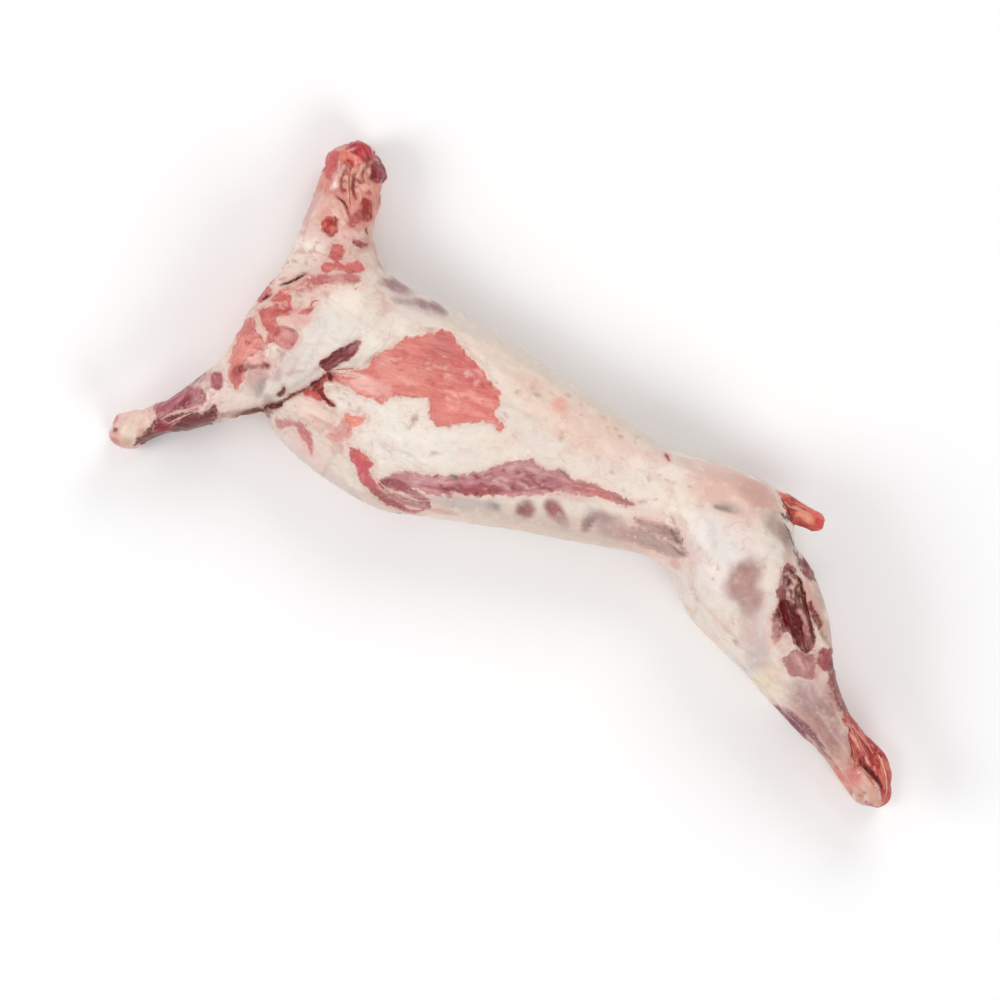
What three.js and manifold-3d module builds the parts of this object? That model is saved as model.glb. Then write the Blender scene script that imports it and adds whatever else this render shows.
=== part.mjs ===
// A whole lamb carcass: skinned, without head or feet, opened along the belly, lying on its right side.
// Millimetres. +X runs from the neck end to the hocks, +Y to the back, +Z up, and z = 0 is the surface
// that the carcass lies on. The origin is under the centre of its bounding box.
import * as THREE from 'three';
import Module from 'manifold-3d';
import { SimplifyModifier } from 'three/addons/modifiers/SimplifyModifier.js';
import { mergeVertices } from 'three/addons/utils/BufferGeometryUtils.js';

// Driving dimensions.
const CHEST_WIDTH = 188; // rib cage, side to side
const MIDLINE = 90; // height of the plane that halves the body
const SHOULDER_HEIGHTS = { near: 148, far: 44 };
const KNUCKLE_HEIGHTS = { near: 84, far: 19 };
const HIP_HEIGHTS = { near: 142, far: 46 };
const HOCK_HEIGHTS = { near: 92, far: 18 };
const NECK_HEIGHTS = { base: 90, end: 44 };
const SEAM = { from: -175, to: 150, halfGap: 8, depth: 26, lip: 18 }; // the opened belly, lying shut
const ARMPIT = { halfWidth: 10, mouth: 178, depth: 32, lip: 12 };
const THIGH_HOLLOW = { length: 92, width: 30, depth: 16, lip: 12 }; // between two muscles of the buttock
const TENDON_FROM = 0.75; // how far down the leg the tendon stands clear, as a share of its length
const CELL = 7.5; // spacing of the grid that the surface is found on
const TRIANGLES = 10400; // what the surface is reduced to

// The trunk's outline along x: [x, back, belly, half width as a share of half the chest width].
const TRUNK = [
  [-452, 62, -62, 0.5],
  [-420, 92, -96, 0.76],
  [-370, 117, -132, 0.9],
  [-310, 119, -149, 0.96],
  [-250, 124, -153, 1.0],
  [-200, 125, -154, 1.0],
  [-150, 122, -134, 0.98],
  [-100, 118, -115, 0.94],
  [-40, 115, -91, 0.88],
  [20, 109, -70, 0.8],
  [75, 104, -51, 0.74],
  [120, 113, -35, 0.74],
  [170, 126, -30, 0.78],
  [220, 129, -12, 0.76],
  [256, 98, 12, 0.6],
];
const TRUNK_FULLNESS = 2.25; // exponent of the section: 2 is an ellipse
const KEEL = 0.22; // how much narrower the trunk is at its belly edge

// Limbs seen from above: [x, y, half width, half thickness].
const NECK = [
  [-372, 10, 78, 66],
  [-401, 66, 62, 58],
  [-423, 113, 52, 50],
  [-438, 150, 44, 45],
  [-449, 184, 39, 41],
  [-459, 209, 34, 37],
];
const FORELEG = [
  [-410, -30, 62, 36],
  [-432, -84, 47, 34],
  [-459, -126, 34, 29],
  [-485, -163, 26, 23],
  [-513, -194, 20, 17],
  [-540, -226, 24, 19],
];
const HIND_LEG = [
  [205, 48, 66, 48],
  [248, 9, 69, 53],
  [303, -15, 71, 49],
  [346, -41, 57, 43],
  [387, -71, 43, 36],
  [426, -93, 33, 28],
  [466, -111, 25, 21],
  [503, -131, 21, 17],
  [534, -147, 19, 17],
];
const ACHILLES_TENDON = [
  [425, -72, 9, 9],
  [470, -92, 8, 9],
  [525, -109, 11, 12],
  [546, -146, 13, 14],
];
const TAIL = [
  [205, 99, 25, 26],
  [240, 114, 17, 17],
  [270, 117, 15, 14],
  [295, 119, 13, 12],
];
const FAR_LEG_SHIFT = [-6, -4]; // the far legs lie a little forward and outward of the near ones

const mix = (a, b, t) => a + (b - a) * t;
const clamp = (v, low = 0, high = 1) => Math.min(Math.max(v, low), high);

// Union and cut of two distances with a fillet of width k.
function join(a, b, k) {
  const h = Math.max(k - Math.abs(a - b), 0) / k;
  return Math.min(a, b) - (h * h * k) / 4;
}
const cut = (a, b, k) => -join(-a, b, k);

// Rows [x, ...values] as a smooth function of x.
function alongX(rows) {
  const slope = (i, c) => {
    const [a, b] = [rows[Math.max(i - 1, 0)], rows[Math.min(i + 1, rows.length - 1)]];
    return (b[c] - a[c]) / (b[0] - a[0]);
  };
  return (x, c) => {
    let i = 0;
    while (i < rows.length - 2 && x > rows[i + 1][0]) i++;
    const [a, b] = [rows[i], rows[i + 1]];
    const width = b[0] - a[0];
    const t = clamp((x - a[0]) / width);
    const [t2, t3] = [t * t, t * t * t];
    return (2 * t3 - 3 * t2 + 1) * a[c] + (t3 - 2 * t2 + t) * width * slope(i, c)
      + (3 * t2 - 2 * t3) * b[c] + (t3 - t2) * width * slope(i + 1, c);
  };
}

// A tube of oval section along a smooth axis, whose height runs evenly from its start to its end.
function limb(stations, startHeight, endHeight, stepsPerStation = 4) {
  const last = stations.length - 1;
  const smooth = (vectors) =>
    new THREE.CatmullRomCurve3(vectors, false, 'catmullrom', 0.5).getPoints(last * stepsPerStation);
  const axis = smooth(stations.map(([x, y], i) =>
    new THREE.Vector3(x, y, mix(startHeight, endHeight, i / last))));
  const girth = smooth(stations.map(([, , width, thickness]) => new THREE.Vector3(width, thickness, 0)));
  return (x, y, z) => {
    let nearest = Infinity;
    for (let i = 0; i + 1 < axis.length; i++) {
      const [a, b] = [axis[i], axis[i + 1]];
      const [dx, dy] = [b.x - a.x, b.y - a.y];
      const t = clamp(((x - a.x) * dx + (y - a.y) * dy) / (dx * dx + dy * dy));
      const width = mix(girth[i].x, girth[i + 1].x, t);
      const flatness = width / mix(girth[i].y, girth[i + 1].y, t);
      const rise = (z - mix(a.z, b.z, t)) * flatness;
      nearest = Math.min(nearest, Math.hypot(x - a.x - dx * t, y - a.y - dy * t, rise) - width);
    }
    return nearest;
  };
}

// A muscle: an ellipsoid turned about Z.
function muscle([cx, cy, cz], [rx, ry, rz], degrees = 0) {
  const turn = THREE.MathUtils.degToRad(degrees);
  const [c, s] = [Math.cos(turn), Math.sin(turn)];
  const smallest = Math.min(rx, ry, rz);
  return (x, y, z) => {
    const [dx, dy] = [x - cx, y - cy];
    const along = (c * dx + s * dy) / rx;
    const across = (c * dy - s * dx) / ry;
    return (Math.hypot(along, across, (z - cz) / rz) - 1) * smallest;
  };
}

// A cleft seen from above: a trough along a line of points, with its mouth at a height.
function cleft(line, halfWidth, mouth, depth) {
  return (x, y, z) => {
    let nearest = Infinity;
    for (let i = 0; i + 1 < line.length; i++) {
      const [[ax, ay], [bx, by]] = [line[i], line[i + 1]];
      const t = clamp(((x - ax) * (bx - ax) + (y - ay) * (by - ay)) / ((bx - ax) ** 2 + (by - ay) ** 2));
      nearest = Math.min(nearest, Math.hypot(x - mix(ax, bx, t), y - mix(ay, by, t)));
    }
    return (Math.hypot(nearest / halfWidth, Math.min(z - mouth, 0) / depth) - 1) * halfWidth;
  };
}

const trunkAt = alongX(TRUNK);

function trunk(x, y, z) {
  const inside = clamp(x, TRUNK[0][0], TRUNK.at(-1)[0]);
  const [back, belly] = [trunkAt(inside, 1), trunkAt(inside, 2)];
  const halfDepth = (back - belly) / 2;
  const up = (y - (back + belly) / 2) / halfDepth;
  const halfWidth = (CHEST_WIDTH / 2) * trunkAt(inside, 3) * (1 - KEEL * clamp(-up));
  const out = Math.abs(z - MIDLINE) / halfWidth;
  const ring = (Math.abs(up) ** TRUNK_FULLNESS + out ** TRUNK_FULLNESS) ** (1 / TRUNK_FULLNESS);
  const side = (ring - 1) * Math.min(halfDepth, halfWidth);
  return x === inside ? side : Math.hypot(Math.max(side, 0), x - inside);
}

// The opened belly: a trough along the midline, because its flaps lie almost shut.
function bellySeam(x, y, z) {
  const deep = Math.max(y - trunkAt(clamp(x, SEAM.from, SEAM.to), 2), 0) / SEAM.depth;
  const past = Math.max(SEAM.from - x, x - SEAM.to, 0) / SEAM.depth;
  return (Math.hypot((z - MIDLINE) / SEAM.halfGap, deep, past) - 1) * SEAM.halfGap;
}

const shifted = (stations) => stations.map(([x, y, ...girth]) =>
  [x + FAR_LEG_SHIFT[0], y + FAR_LEG_SHIFT[1], ...girth]);

// The pieces in the order in which they join the trunk, each group with the width of its fillets.
const JOINED = [
  { fillet: 26, pieces: [ // shoulders
    muscle([-392, 8, 136], [84, 100, 56], -12),
    muscle([-392, 8, 46], [84, 100, 54], -12),
  ] },
  { fillet: 30, pieces: [ // neck and the lumps round its cut end
    limb(NECK, NECK_HEIGHTS.base, NECK_HEIGHTS.end),
    muscle([-463, 229, 50], [13, 17, 22]),
    muscle([-440, 226, 42], [8, 10, 16]),
    muscle([-424, 184, 46], [9, 18, 26]),
  ] },
  { fillet: 22, pieces: [ // loin where it widens to the hips, the far flank and the buttocks
    muscle([165, 80, 128], [100, 38, 38], 6),
    muscle([165, 80, 52], [100, 38, 38], 6),
    muscle([226, -20, 56], [54, 41, 42], -40),
    muscle([266, 34, 140], [64, 36, 44], -38),
    muscle([316, 24, 50], [60, 32, 44], -44),
  ] },
  { fillet: 16, pieces: [
    limb(FORELEG, SHOULDER_HEIGHTS.near, KNUCKLE_HEIGHTS.near),
    limb(FORELEG, SHOULDER_HEIGHTS.far, KNUCKLE_HEIGHTS.far),
  ] },
  { fillet: 34, pieces: [
    limb(HIND_LEG, HIP_HEIGHTS.near, HOCK_HEIGHTS.near),
    limb(shifted(HIND_LEG), HIP_HEIGHTS.far, HOCK_HEIGHTS.far),
  ] },
  { fillet: 14, pieces: [
    limb(ACHILLES_TENDON, mix(HIP_HEIGHTS.near, HOCK_HEIGHTS.near, TENDON_FROM), HOCK_HEIGHTS.near),
    limb(shifted(ACHILLES_TENDON), mix(HIP_HEIGHTS.far, HOCK_HEIGHTS.far, TENDON_FROM), HOCK_HEIGHTS.far),
    limb(TAIL, MIDLINE, MIDLINE),
  ] },
];
const armpit = cleft([[-326, 24], [-346, -20], [-356, -52], [-376, -86], [-398, -116]],
  ARMPIT.halfWidth, ARMPIT.mouth, ARMPIT.depth);
const thighHollow = muscle([330, 2, 177],
  [THIGH_HOLLOW.length / 2, THIGH_HOLLOW.width / 2, THIGH_HOLLOW.depth], -52);

function carcass(x, y, z) {
  let d = cut(trunk(x, y, z), bellySeam(x, y, z), SEAM.lip);
  for (const { fillet, pieces } of JOINED) {
    for (const piece of pieces) d = join(d, piece(x, y, z), fillet);
  }
  return cut(cut(d, armpit(x, y, z), ARMPIT.lip), thighHollow(x, y, z), THIGH_HOLLOW.lip);
}

// The surface where field is 0 inside a box, found on a grid: one vertex for each cell that it crosses
// and two triangles for each grid edge that it crosses.
function surfaceOf(field, box) {
  const [xs, ys, zs] = ['x', 'y', 'z'].map((axis) =>
    [...Array(Math.ceil((box.max[axis] - box.min[axis]) / CELL) + 1).keys()]
      .map((n) => box.min[axis] + n * CELL));
  const at = (i, j, k) => (i * ys.length + j) * zs.length + k;
  const values = xs.flatMap((x) => ys.flatMap((y) => zs.map((z) => field(x, y, z))));
  const corners = [...Array(8).keys()].map((n) => [n & 1, (n >> 1) & 1, n >> 2]);
  const edges = corners.flatMap((a) => [0, 1, 2].filter((axis) => !a[axis]).map((axis) =>
    [a, a.map((v, c) => (c === axis ? 1 : v))]));
  const positions = [];
  const vertexOf = new Map();
  const vertex = (i, j, k) => {
    const key = at(i, j, k);
    if (vertexOf.has(key)) return vertexOf.get(key);
    const sum = new THREE.Vector3();
    let crossings = 0;
    for (const [a, b] of edges) {
      const va = values[at(i + a[0], j + a[1], k + a[2])];
      const vb = values[at(i + b[0], j + b[1], k + b[2])];
      if (va < 0 === vb < 0) continue;
      const t = va / (va - vb);
      sum.add(new THREE.Vector3(mix(a[0], b[0], t), mix(a[1], b[1], t), mix(a[2], b[2], t)));
      crossings++;
    }
    const corner = new THREE.Vector3(xs[i], ys[j], zs[k]);
    positions.push(...corner.addScaledVector(sum, CELL / crossings).toArray());
    vertexOf.set(key, positions.length / 3 - 1);
    return positions.length / 3 - 1;
  };
  const faces = [];
  const quad = (flip, a, b, c, d) => faces.push(...(flip ? [a, c, b, a, d, c] : [a, b, c, a, c, d]));
  for (let i = 1; i < xs.length - 1; i++) {
    for (let j = 1; j < ys.length - 1; j++) {
      for (let k = 1; k < zs.length - 1; k++) {
        const inside = values[at(i, j, k)] < 0;
        if (inside !== values[at(i + 1, j, k)] < 0) {
          quad(!inside, vertex(i, j - 1, k - 1), vertex(i, j, k - 1), vertex(i, j, k), vertex(i, j - 1, k));
        }
        if (inside !== values[at(i, j + 1, k)] < 0) {
          quad(!inside, vertex(i - 1, j, k - 1), vertex(i - 1, j, k), vertex(i, j, k), vertex(i, j, k - 1));
        }
        if (inside !== values[at(i, j, k + 1)] < 0) {
          quad(!inside, vertex(i - 1, j - 1, k), vertex(i, j - 1, k), vertex(i, j, k), vertex(i - 1, j, k));
        }
      }
    }
  }
  settle(positions, field);
  return meshGeometry(positions, faces);
}

// Moves each vertex onto the surface along the field's gradient, which e is the step for measuring.
function settle(positions, field, rounds = 3, e = 0.5, longestMove = 2) {
  for (let n = 0; n < positions.length; n += 3) {
    for (let round = 0; round < rounds; round++) {
      const [x, y, z] = positions.slice(n, n + 3);
      const gradient = new THREE.Vector3(
        field(x + e, y, z) - field(x - e, y, z),
        field(x, y + e, z) - field(x, y - e, z),
        field(x, y, z + e) - field(x, y, z - e)).divideScalar(2 * e);
      const step = clamp(field(x, y, z) / Math.max(gradient.lengthSq(), 0.25), -longestMove, longestMove);
      positions[n] -= gradient.x * step;
      positions[n + 1] -= gradient.y * step;
      positions[n + 2] -= gradient.z * step;
    }
  }
}

function meshGeometry(positions, faces) {
  const geometry = new THREE.BufferGeometry();
  geometry.setAttribute('position', new THREE.BufferAttribute(new Float32Array(positions), 3));
  geometry.setIndex(new THREE.BufferAttribute(new Uint32Array(faces), 1));
  return geometry;
}

// The same surface with fewer triangles: many where it bends sharply, few where it is nearly flat.
async function reduced(geometry, triangles) {
  const vertices = geometry.attributes.position.count;
  return new SimplifyModifier().modify(geometry, vertices - Math.round(triangles / 2));
}

const wasm = await Module();
wasm.setup();

const solidOf = (geometry) => new wasm.Manifold(new wasm.Mesh({
  numProp: 3,
  vertProperties: geometry.attributes.position.array,
  triVerts: geometry.index.array,
}));

// The carcass's weight presses it flat where it lies, so what would be under the surface is cut off.
function pressedFlat(geometry) {
  const [length, width, depth] = [1400, 800, 60];
  const box = new THREE.BoxGeometry(length, width, depth).translate(0, 0, -depth / 2);
  box.deleteAttribute('normal');
  box.deleteAttribute('uv');
  const under = mergeVertices(box);
  const { vertProperties, triVerts } = solidOf(geometry).subtract(solidOf(under)).getMesh();
  return meshGeometry(vertProperties, triVerts);
}

const around = new THREE.Box3(new THREE.Vector3(-590, -280, -22), new THREE.Vector3(590, 280, 215));
const geometry = pressedFlat(await reduced(surfaceOf(carcass, around), TRIANGLES));
geometry.computeVertexNormals();

const body = new THREE.Mesh(geometry, new THREE.MeshStandardMaterial({
  color: 0xe6d3c8, roughness: 0.5, metalness: 0,
}));
body.name = 'carcass';

const group = new THREE.Group();
group.add(body);
export default group;
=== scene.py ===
"""A raw whole lamb carcass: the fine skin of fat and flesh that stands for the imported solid, with its relief
and its colours, the scraps and strands of sinew on it, and the stage that it is seen on.

Places and sizes in the tables are millimetres, seen from above: x runs from the neck end to the hocks and y
from the belly to the back. Colours are six-letter sRGB codes."""
import math

from collections import namedtuple

import bmesh
import bpy
import numpy as np
import openvdb
from bpy.props import FloatProperty, FloatVectorProperty, IntProperty, PointerProperty
from mathutils import Euler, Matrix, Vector
from mathutils.bvhtree import BVHTree


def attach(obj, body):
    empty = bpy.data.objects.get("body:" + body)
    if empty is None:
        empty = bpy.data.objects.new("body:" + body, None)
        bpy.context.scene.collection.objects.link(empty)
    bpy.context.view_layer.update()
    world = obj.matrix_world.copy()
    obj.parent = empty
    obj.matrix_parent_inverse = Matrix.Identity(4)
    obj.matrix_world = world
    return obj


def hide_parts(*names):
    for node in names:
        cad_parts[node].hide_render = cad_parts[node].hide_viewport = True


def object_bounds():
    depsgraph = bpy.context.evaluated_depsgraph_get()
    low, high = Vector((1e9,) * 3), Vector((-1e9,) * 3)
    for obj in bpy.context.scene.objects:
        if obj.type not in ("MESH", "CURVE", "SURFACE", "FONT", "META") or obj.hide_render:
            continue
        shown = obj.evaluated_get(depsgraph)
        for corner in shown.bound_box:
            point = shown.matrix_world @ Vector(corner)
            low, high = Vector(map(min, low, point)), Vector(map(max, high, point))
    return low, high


bl_info = {
    "name": "Lamb carcass",
    "version": (1, 0, 0),
    "blender": (4, 5, 0),
    "location": "3D View > Sidebar > Carcass",
    "description": "Makes the skin, scraps, strands and stage of a whole lamb carcass",
    "category": "Object",
}

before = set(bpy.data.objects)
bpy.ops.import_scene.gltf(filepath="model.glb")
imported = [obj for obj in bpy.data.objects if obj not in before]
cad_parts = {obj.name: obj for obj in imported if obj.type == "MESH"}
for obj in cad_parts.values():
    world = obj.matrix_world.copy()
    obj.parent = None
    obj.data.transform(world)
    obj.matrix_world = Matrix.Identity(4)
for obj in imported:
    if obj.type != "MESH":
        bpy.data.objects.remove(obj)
CAD_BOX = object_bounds()
CAD_LOW, CAD_HIGH = (np.array(corner) for corner in CAD_BOX)
MM = 0.001

# ---------------------------------------------------------------- where things are

# How high the plane between the two sides runs: x, y, height.
MIDDLES = (
    (-300, 0, 92), (-100, 0, 90), (150, 20, 90), (230, 20, 92), (200, 99, 90), (290, 118, 90),
    (330, -60, 88), (360, -80, 80), (400, -90, 73), (440, -100, 68), (490, -120, 61), (540, -150, 54),
    (340, 45, 93), (380, -20, 79), (420, -60, 68), (-420, -40, 93), (-430, -90, 87), (-450, -110, 82),
    (-470, -140, 76), (-490, -160, 70), (-530, -200, 56), (-560, -215, 50), (-420, 100, 82),
    (-440, 130, 68), (-440, 160, 60), (-450, 200, 49), (-455, 235, 45),
)

# Soft tints in the fat: colour, x, y, half length, half width, turn in degrees, strength.
FAT_TINTS = (
    # F2E8DD: painted highlight, the chest's fat made lighter where the light falls most.
    ("F0E1D5", 60, 60, 120, 60, 0, 0.8), ("F2E8DD", -230, -55, 110, 50, 15, 0.9),
    ("EBD0BE", -60, 72, 100, 34, -3, 0.9), ("EECEBE", 5, 78, 60, 26, -5, 0.7),
    # D9CCC0 here and DACAB9 on the next line: greyer bands along the back's edge, painted shade where the
    # surface turns away from the light.
    ("F0D9C6", -170, 95, 90, 16, -3, 0.7), ("D9CCC0", -150, 116, 140, 13, -3, 0.8),
    ("DACAB9", 30, 104, 90, 10, -5, 0.8), ("E9DDD6", -85, 30, 26, 14, 30, 0.5),
    ("EFE2CF", -120, -5, 40, 18, 20, 0.5), ("E8DAD2", -150, -30, 34, 12, 25, 0.5),
    # F5EBDD: painted highlight, the chest's fat made lighter where the light falls most.
    ("F5EBDD", -262, -70, 40, 14, 10, 0.6), ("E2D6CF", -240, -78, 26, 9, 20, 0.5),
    ("E9DCD2", 30, 45, 34, 20, -10, 0.5), ("F2E3D0", 118, 52, 22, 26, -30, 0.7),
    ("E6C4B8", -118, 88, 26, 10, -10, 0.5), ("E5C3B4", -15, 62, 30, 9, -20, 0.4),
    ("E9C9BC", 60, 84, 34, 9, 10, 0.6), ("D5B5A8", 108, 98, 16, 8, 10, 0.6),
    ("E4BDAF", 178, 90, 62, 34, 4, 0.95), ("D2A496", 212, 114, 38, 22, 0, 0.95),
    ("DDB5A8", 150, 112, 40, 14, 12, 0.6), ("EFE3DC", 205, 10, 70, 60, 0, 0.8),
    ("E3E0DE", 210, 28, 26, 18, 20, 0.6), ("E8DDD9", 190, 48, 30, 10, 0, 0.5),
    ("EBDDD0", 250, -62, 70, 20, -25, 0.7), ("E3DEDA", 175, 30, 24, 34, 30, 0.5),
    ("D1BDB9", 312, -62, 32, 16, -50, 0.8), ("EAD4C0", 345, -84, 34, 12, -20, 0.8),
    ("E8DCBC", 342, -94, 16, 8, -20, 0.8), ("D9C2B4", 0, -60, 150, 26, 20, 0.8),
    # D3C1B7 and D6C0BB: greyer bands along the belly's edge, painted shade where the surface turns away from
    # the light.
    ("D3C1B7", -180, -140, 110, 9, 8, 0.8), ("D6C0BB", -300, -143, 70, 10, -6, 0.8),
    ("ECCCC4", -325, -130, 40, 12, -12, 0.8), ("F4D9CB", -335, -84, 46, 15, 0, 0.9),
    ("E5C9BC", -318, -92, 24, 6, 5, 0.6), ("EDE3D9", -370, 25, 60, 60, 0, 0.8),
    ("E2DAD6", -392, 20, 14, 26, 0, 0.6), ("E4DAD6", -372, -40, 18, 30, 20, 0.6),
    ("F0E2D2", -355, 78, 60, 34, 20, 0.8), ("F7DCCB", -462, 48, 18, 30, -10, 0.95),
    ("F5E0D0", -458, 74, 22, 14, 0, 0.8), ("DECDC7", -402, -45, 18, 34, 0, 0.8),
    ("F0E4DC", -428, -42, 8, 12, 40, 0.8), ("EFE0CC", -473, -68, 7, 26, 8, 0.8),
    ("E9D8CE", -440, -122, 40, 16, 35, 0.8), ("E6D3C8", -464, -146, 9, 16, -25, 0.9),
    ("EBC8BD", -535, -200, 36, 24, 45, 0.95), ("F1C5BB", -545, -207, 14, 9, 45, 0.7),
    ("DDB4A6", -533, -207, 8, 7, 0, 0.6), ("E6D2B8", -538, -222, 11, 9, 0, 0.8),
    ("C9A48C", -532, -238, 12, 8, 30, 0.8), ("EAA79C", -549, -240, 12, 8, 0, 0.8),
    ("E29A98", -562, -222, 7, 10, 0, 0.9), ("CE8A82", -568, -232, 7, 22, 20, 0.9),
    ("D8988E", -546, -254, 24, 7, 10, 0.9), ("D8A096", -524, -180, 24, 4, 45, 0.8),
    ("F0D0C2", -532, -197, 22, 9, 45, 0.7), ("E9BCAE", -552, -230, 10, 12, 0, 0.7),
    ("C79A90", -520, -222, 6, 16, 25, 0.8), ("F3DECF", -462, 105, 16, 16, 0, 0.9),
    ("EEDAD4", -444, 112, 14, 16, 0, 0.9), ("F6CFC2", -430, 92, 26, 12, 10, 0.8),
    ("E9B6A9", -466, 148, 16, 40, 0, 0.95), ("DE9C8A", -468, 174, 11, 14, 0, 0.9),
    ("F2BBAC", -444, 160, 18, 14, -30, 0.9), ("F0C0B2", -420, 135, 16, 18, 0, 0.9),
    ("E5AFAE", -478, 138, 6, 20, 0, 0.8), ("C0A595", -398, 158, 9, 26, 24, 0.9),
    ("BFA595", -384, 138, 12, 14, 45, 0.9), ("D9C0B2", -372, 125, 26, 12, -30, 0.7),
    ("C9948A", -396, 122, 10, 6, 40, 0.7), ("F6D3C6", -400, 112, 8, 10, 0, 0.7),
    ("CC9490", -388, 90, 16, 7, 30, 0.8), ("EFC4BA", -448, 6, 34, 44, 10, 0.75),
    ("EFC8BE", -458, -48, 20, 52, 12, 0.6), ("EDBFB4", -420, 62, 44, 26, 32, 0.6),
    ("EFC2B6", -408, 104, 36, 20, 20, 0.7), ("F0C6BC", -450, 150, 60, 60, 0, 0.55),
    ("FFEEDF", -450, 101, 24, 11, 10, 1.0), ("B88478", -393, 140, 9, 16, 0, 0.6),
    ("A8848E", -486, -112, 9, 10, 0, 0.7), ("9E7068", 345, 36, 9, 8, 0, 0.5),
    ("DE9486", -456, 146, 8, 12, 0, 0.7), ("E8B4AC", -418, 8, 18, 8, 5, 0.9),
    ("EDB4B2", -407, 15, 7, 10, 0, 0.9), ("C9A09C", -401, 57, 6, 4, 30, 0.9),
    ("D9B5AE", -402, 38, 4, 6, 0, 0.6), ("E3D2C8", -428, 34, 10, 9, 0, 0.8),
    ("C2A09C", -426, -82, 15, 20, 10, 0.95), ("A39491", -414, -90, 5, 16, 8, 0.8),
    ("A98F8C", -410, -42, 4, 8, 10, 0.9), ("BFAAA5", -403, -66, 4, 12, 5, 0.8),
    ("BCA9A2", -399, -98, 9, 8, 0, 0.8), ("D9C4BC", -436, -104, 18, 6, 10, 0.6),
    ("DDAAB0", -483, -113, 8, 8, 0, 0.9), ("D6BFC4", -492, -130, 8, 14, 60, 0.7),
    ("C9A7AC", -505, -160, 5, 22, 20, 0.8), ("E9BDB4", -512, -182, 7, 12, 40, 0.8),
    ("B08A84", -444, -156, 12, 10, 45, 0.95), ("C79AA0", -490, -53, 6, 6, 0, 0.9),
    ("E8C4BC", -325, 80, 10, 16, -30, 0.7), ("82485A", -328, 112, 24, 9, 12, 0.95),
    ("A88684", -312, 97, 16, 5, 20, 0.85), ("74303A", -279, 109, 26, 9, 8, 0.95),
    ("8E5058", -285, 108, 12, 3, 12, 0.8), ("8A5A60", -334, 112, 14, 4, 15, 0.8),
    ("BDA6A4", -300, 104, 46, 12, 6, 0.5), ("E7DAD2", -290, 92, 34, 10, 12, 0.7),
    ("F1E7DC", -320, 40, 12, 26, -30, 0.7), ("B79C8E", -309, 14, 4, 14, -25, 0.7),
    ("B08E80", -262, 84, 8, 3, 10, 0.6), ("F0A898", -70, 84, 11, 10, 0, 0.8),
    ("E8B2A4", -66, 78, 22, 12, 0, 0.4), ("A8978B", -124, 71, 6, 3, -10, 0.8),
    ("B0A096", -101, 80, 4, 3, -5, 0.8), ("B3A398", -46, 46, 4, 5, 30, 0.8),
    ("C4A99C", -67, 100, 4, 4, 0, 0.7), ("B89A8E", 19, 87, 5, 2.6, 10, 0.8),
    ("C9ADA0", 8, 92, 4, 2.4, -40, 0.7), ("CFB0A4", 107, 69, 4, 6, -50, 0.6),
    ("A9998F", -222, -27, 4, 9, 10, 0.9), ("B5A79E", -221, -37, 3, 4, 40, 0.8),
    ("CDA9A0", -180, -52, 9, 3, 25, 0.7), ("C9BDB4", -152, -28, 3, 5, 0, 0.6),
    ("C9BDB4", -210, -70, 9, 3, 20, 0.5), ("B2A29E", -79, -74, 14, 10, 10, 0.95),
    ("8E8886", -76, -72, 6, 5, 0, 0.5), ("A0716F", -40, -56, 12, 13, 0, 1.0),
    ("8E5E5E", -44, -60, 7, 7, 0, 0.6), ("A86A6C", -6, -38, 19, 12, -25, 1.0),
    ("9A5A5C", -16, -36, 9, 8, 0, 0.6), ("B08F8E", 10, -45, 13, 9, -25, 0.7),
    ("BFA39F", 62, -20, 36, 17, 0, 0.9), ("967674", 39, -30, 8, 13, -10, 0.9),
    ("A98C88", 50, -16, 16, 8, 20, 0.6), ("B39C98", 100, -18, 38, 10, 12, 0.9),
    ("A38A86", 130, -10, 26, 7, 10, 0.8), ("C4B8B6", -118, -90, 42, 10, 24, 0.8),
    ("A8A4A0", -128, -99, 10, 5, 30, 0.6), ("E2C4BA", 5, -12, 34, 6, 20, 0.8),
    ("E6C6BC", -46, -36, 30, 4, 28, 0.8), ("C49C98", 112, 8, 22, 5, 6, 0.5),
    ("A8918C", 146, -8, 24, 6, 10, 0.8), ("7A645E", 160, -4, 10, 3, -5, 0.8),
    ("B7A698", 130, 28, 10, 3.4, -28, 0.9), ("D9A8A2", 163, -20, 9, 6, -30, 0.8),
    ("7E6E66", 180, 73, 15, 4, 18, 0.9), ("A89A92", 186, 77, 20, 7, 14, 0.6),
    ("C4ADA2", 240, 84, 10, 6, 0, 0.6), ("DCCFC9", 178, 34, 10, 5, -60, 0.5),
    ("AC827D", 248, 8, 22, 31, -8, 0.95), ("A07370", 240, 16, 9, 9, 0, 0.6),
    ("A57C76", 252, -12, 13, 13, 0, 0.6), ("C98890", -481, 142, 8, 16, 0, 0.8),
    ("CE8480", -484, 176, 8, 24, 0, 0.75), ("C46E70", -561, -222, 5, 7, 0, 0.8),
    ("C87874", -546, -246, 11, 5, 0, 0.8), ("CC8C84", -528, -244, 9, 4, 0, 0.6),
    ("B5484A", -493, -55, 7, 5, 0, 0.9), ("AE8480", 270, -12, 17, 24, 18, 0.8),
    ("A07674", 277, -8, 7, 16, 12, 0.6), ("CDB4AF", 292, -44, 18, 28, 32, 0.7),
    ("CDBDBC", 312, -72, 18, 22, 40, 0.6), ("A88E84", 280, -68, 4, 3, 40, 0.7),
    ("B3998F", 250, 86, 24, 12, -30, 0.85), ("9C8078", 270, 78, 24, 7, -38, 0.85),
    ("B79E96", 286, 58, 16, 8, -40, 0.7), ("DDD2CA", 296, -20, 8, 40, 14, 0.8),
    ("D3B9AE", 336, -40, 10, 16, 20, 0.9), ("C0908A", 318, -32, 5, 16, 22, 0.9),
    ("B89A8E", 345, 38, 26, 22, -45, 0.95), ("C2A292", 374, 4, 20, 10, -42, 0.9),
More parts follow.
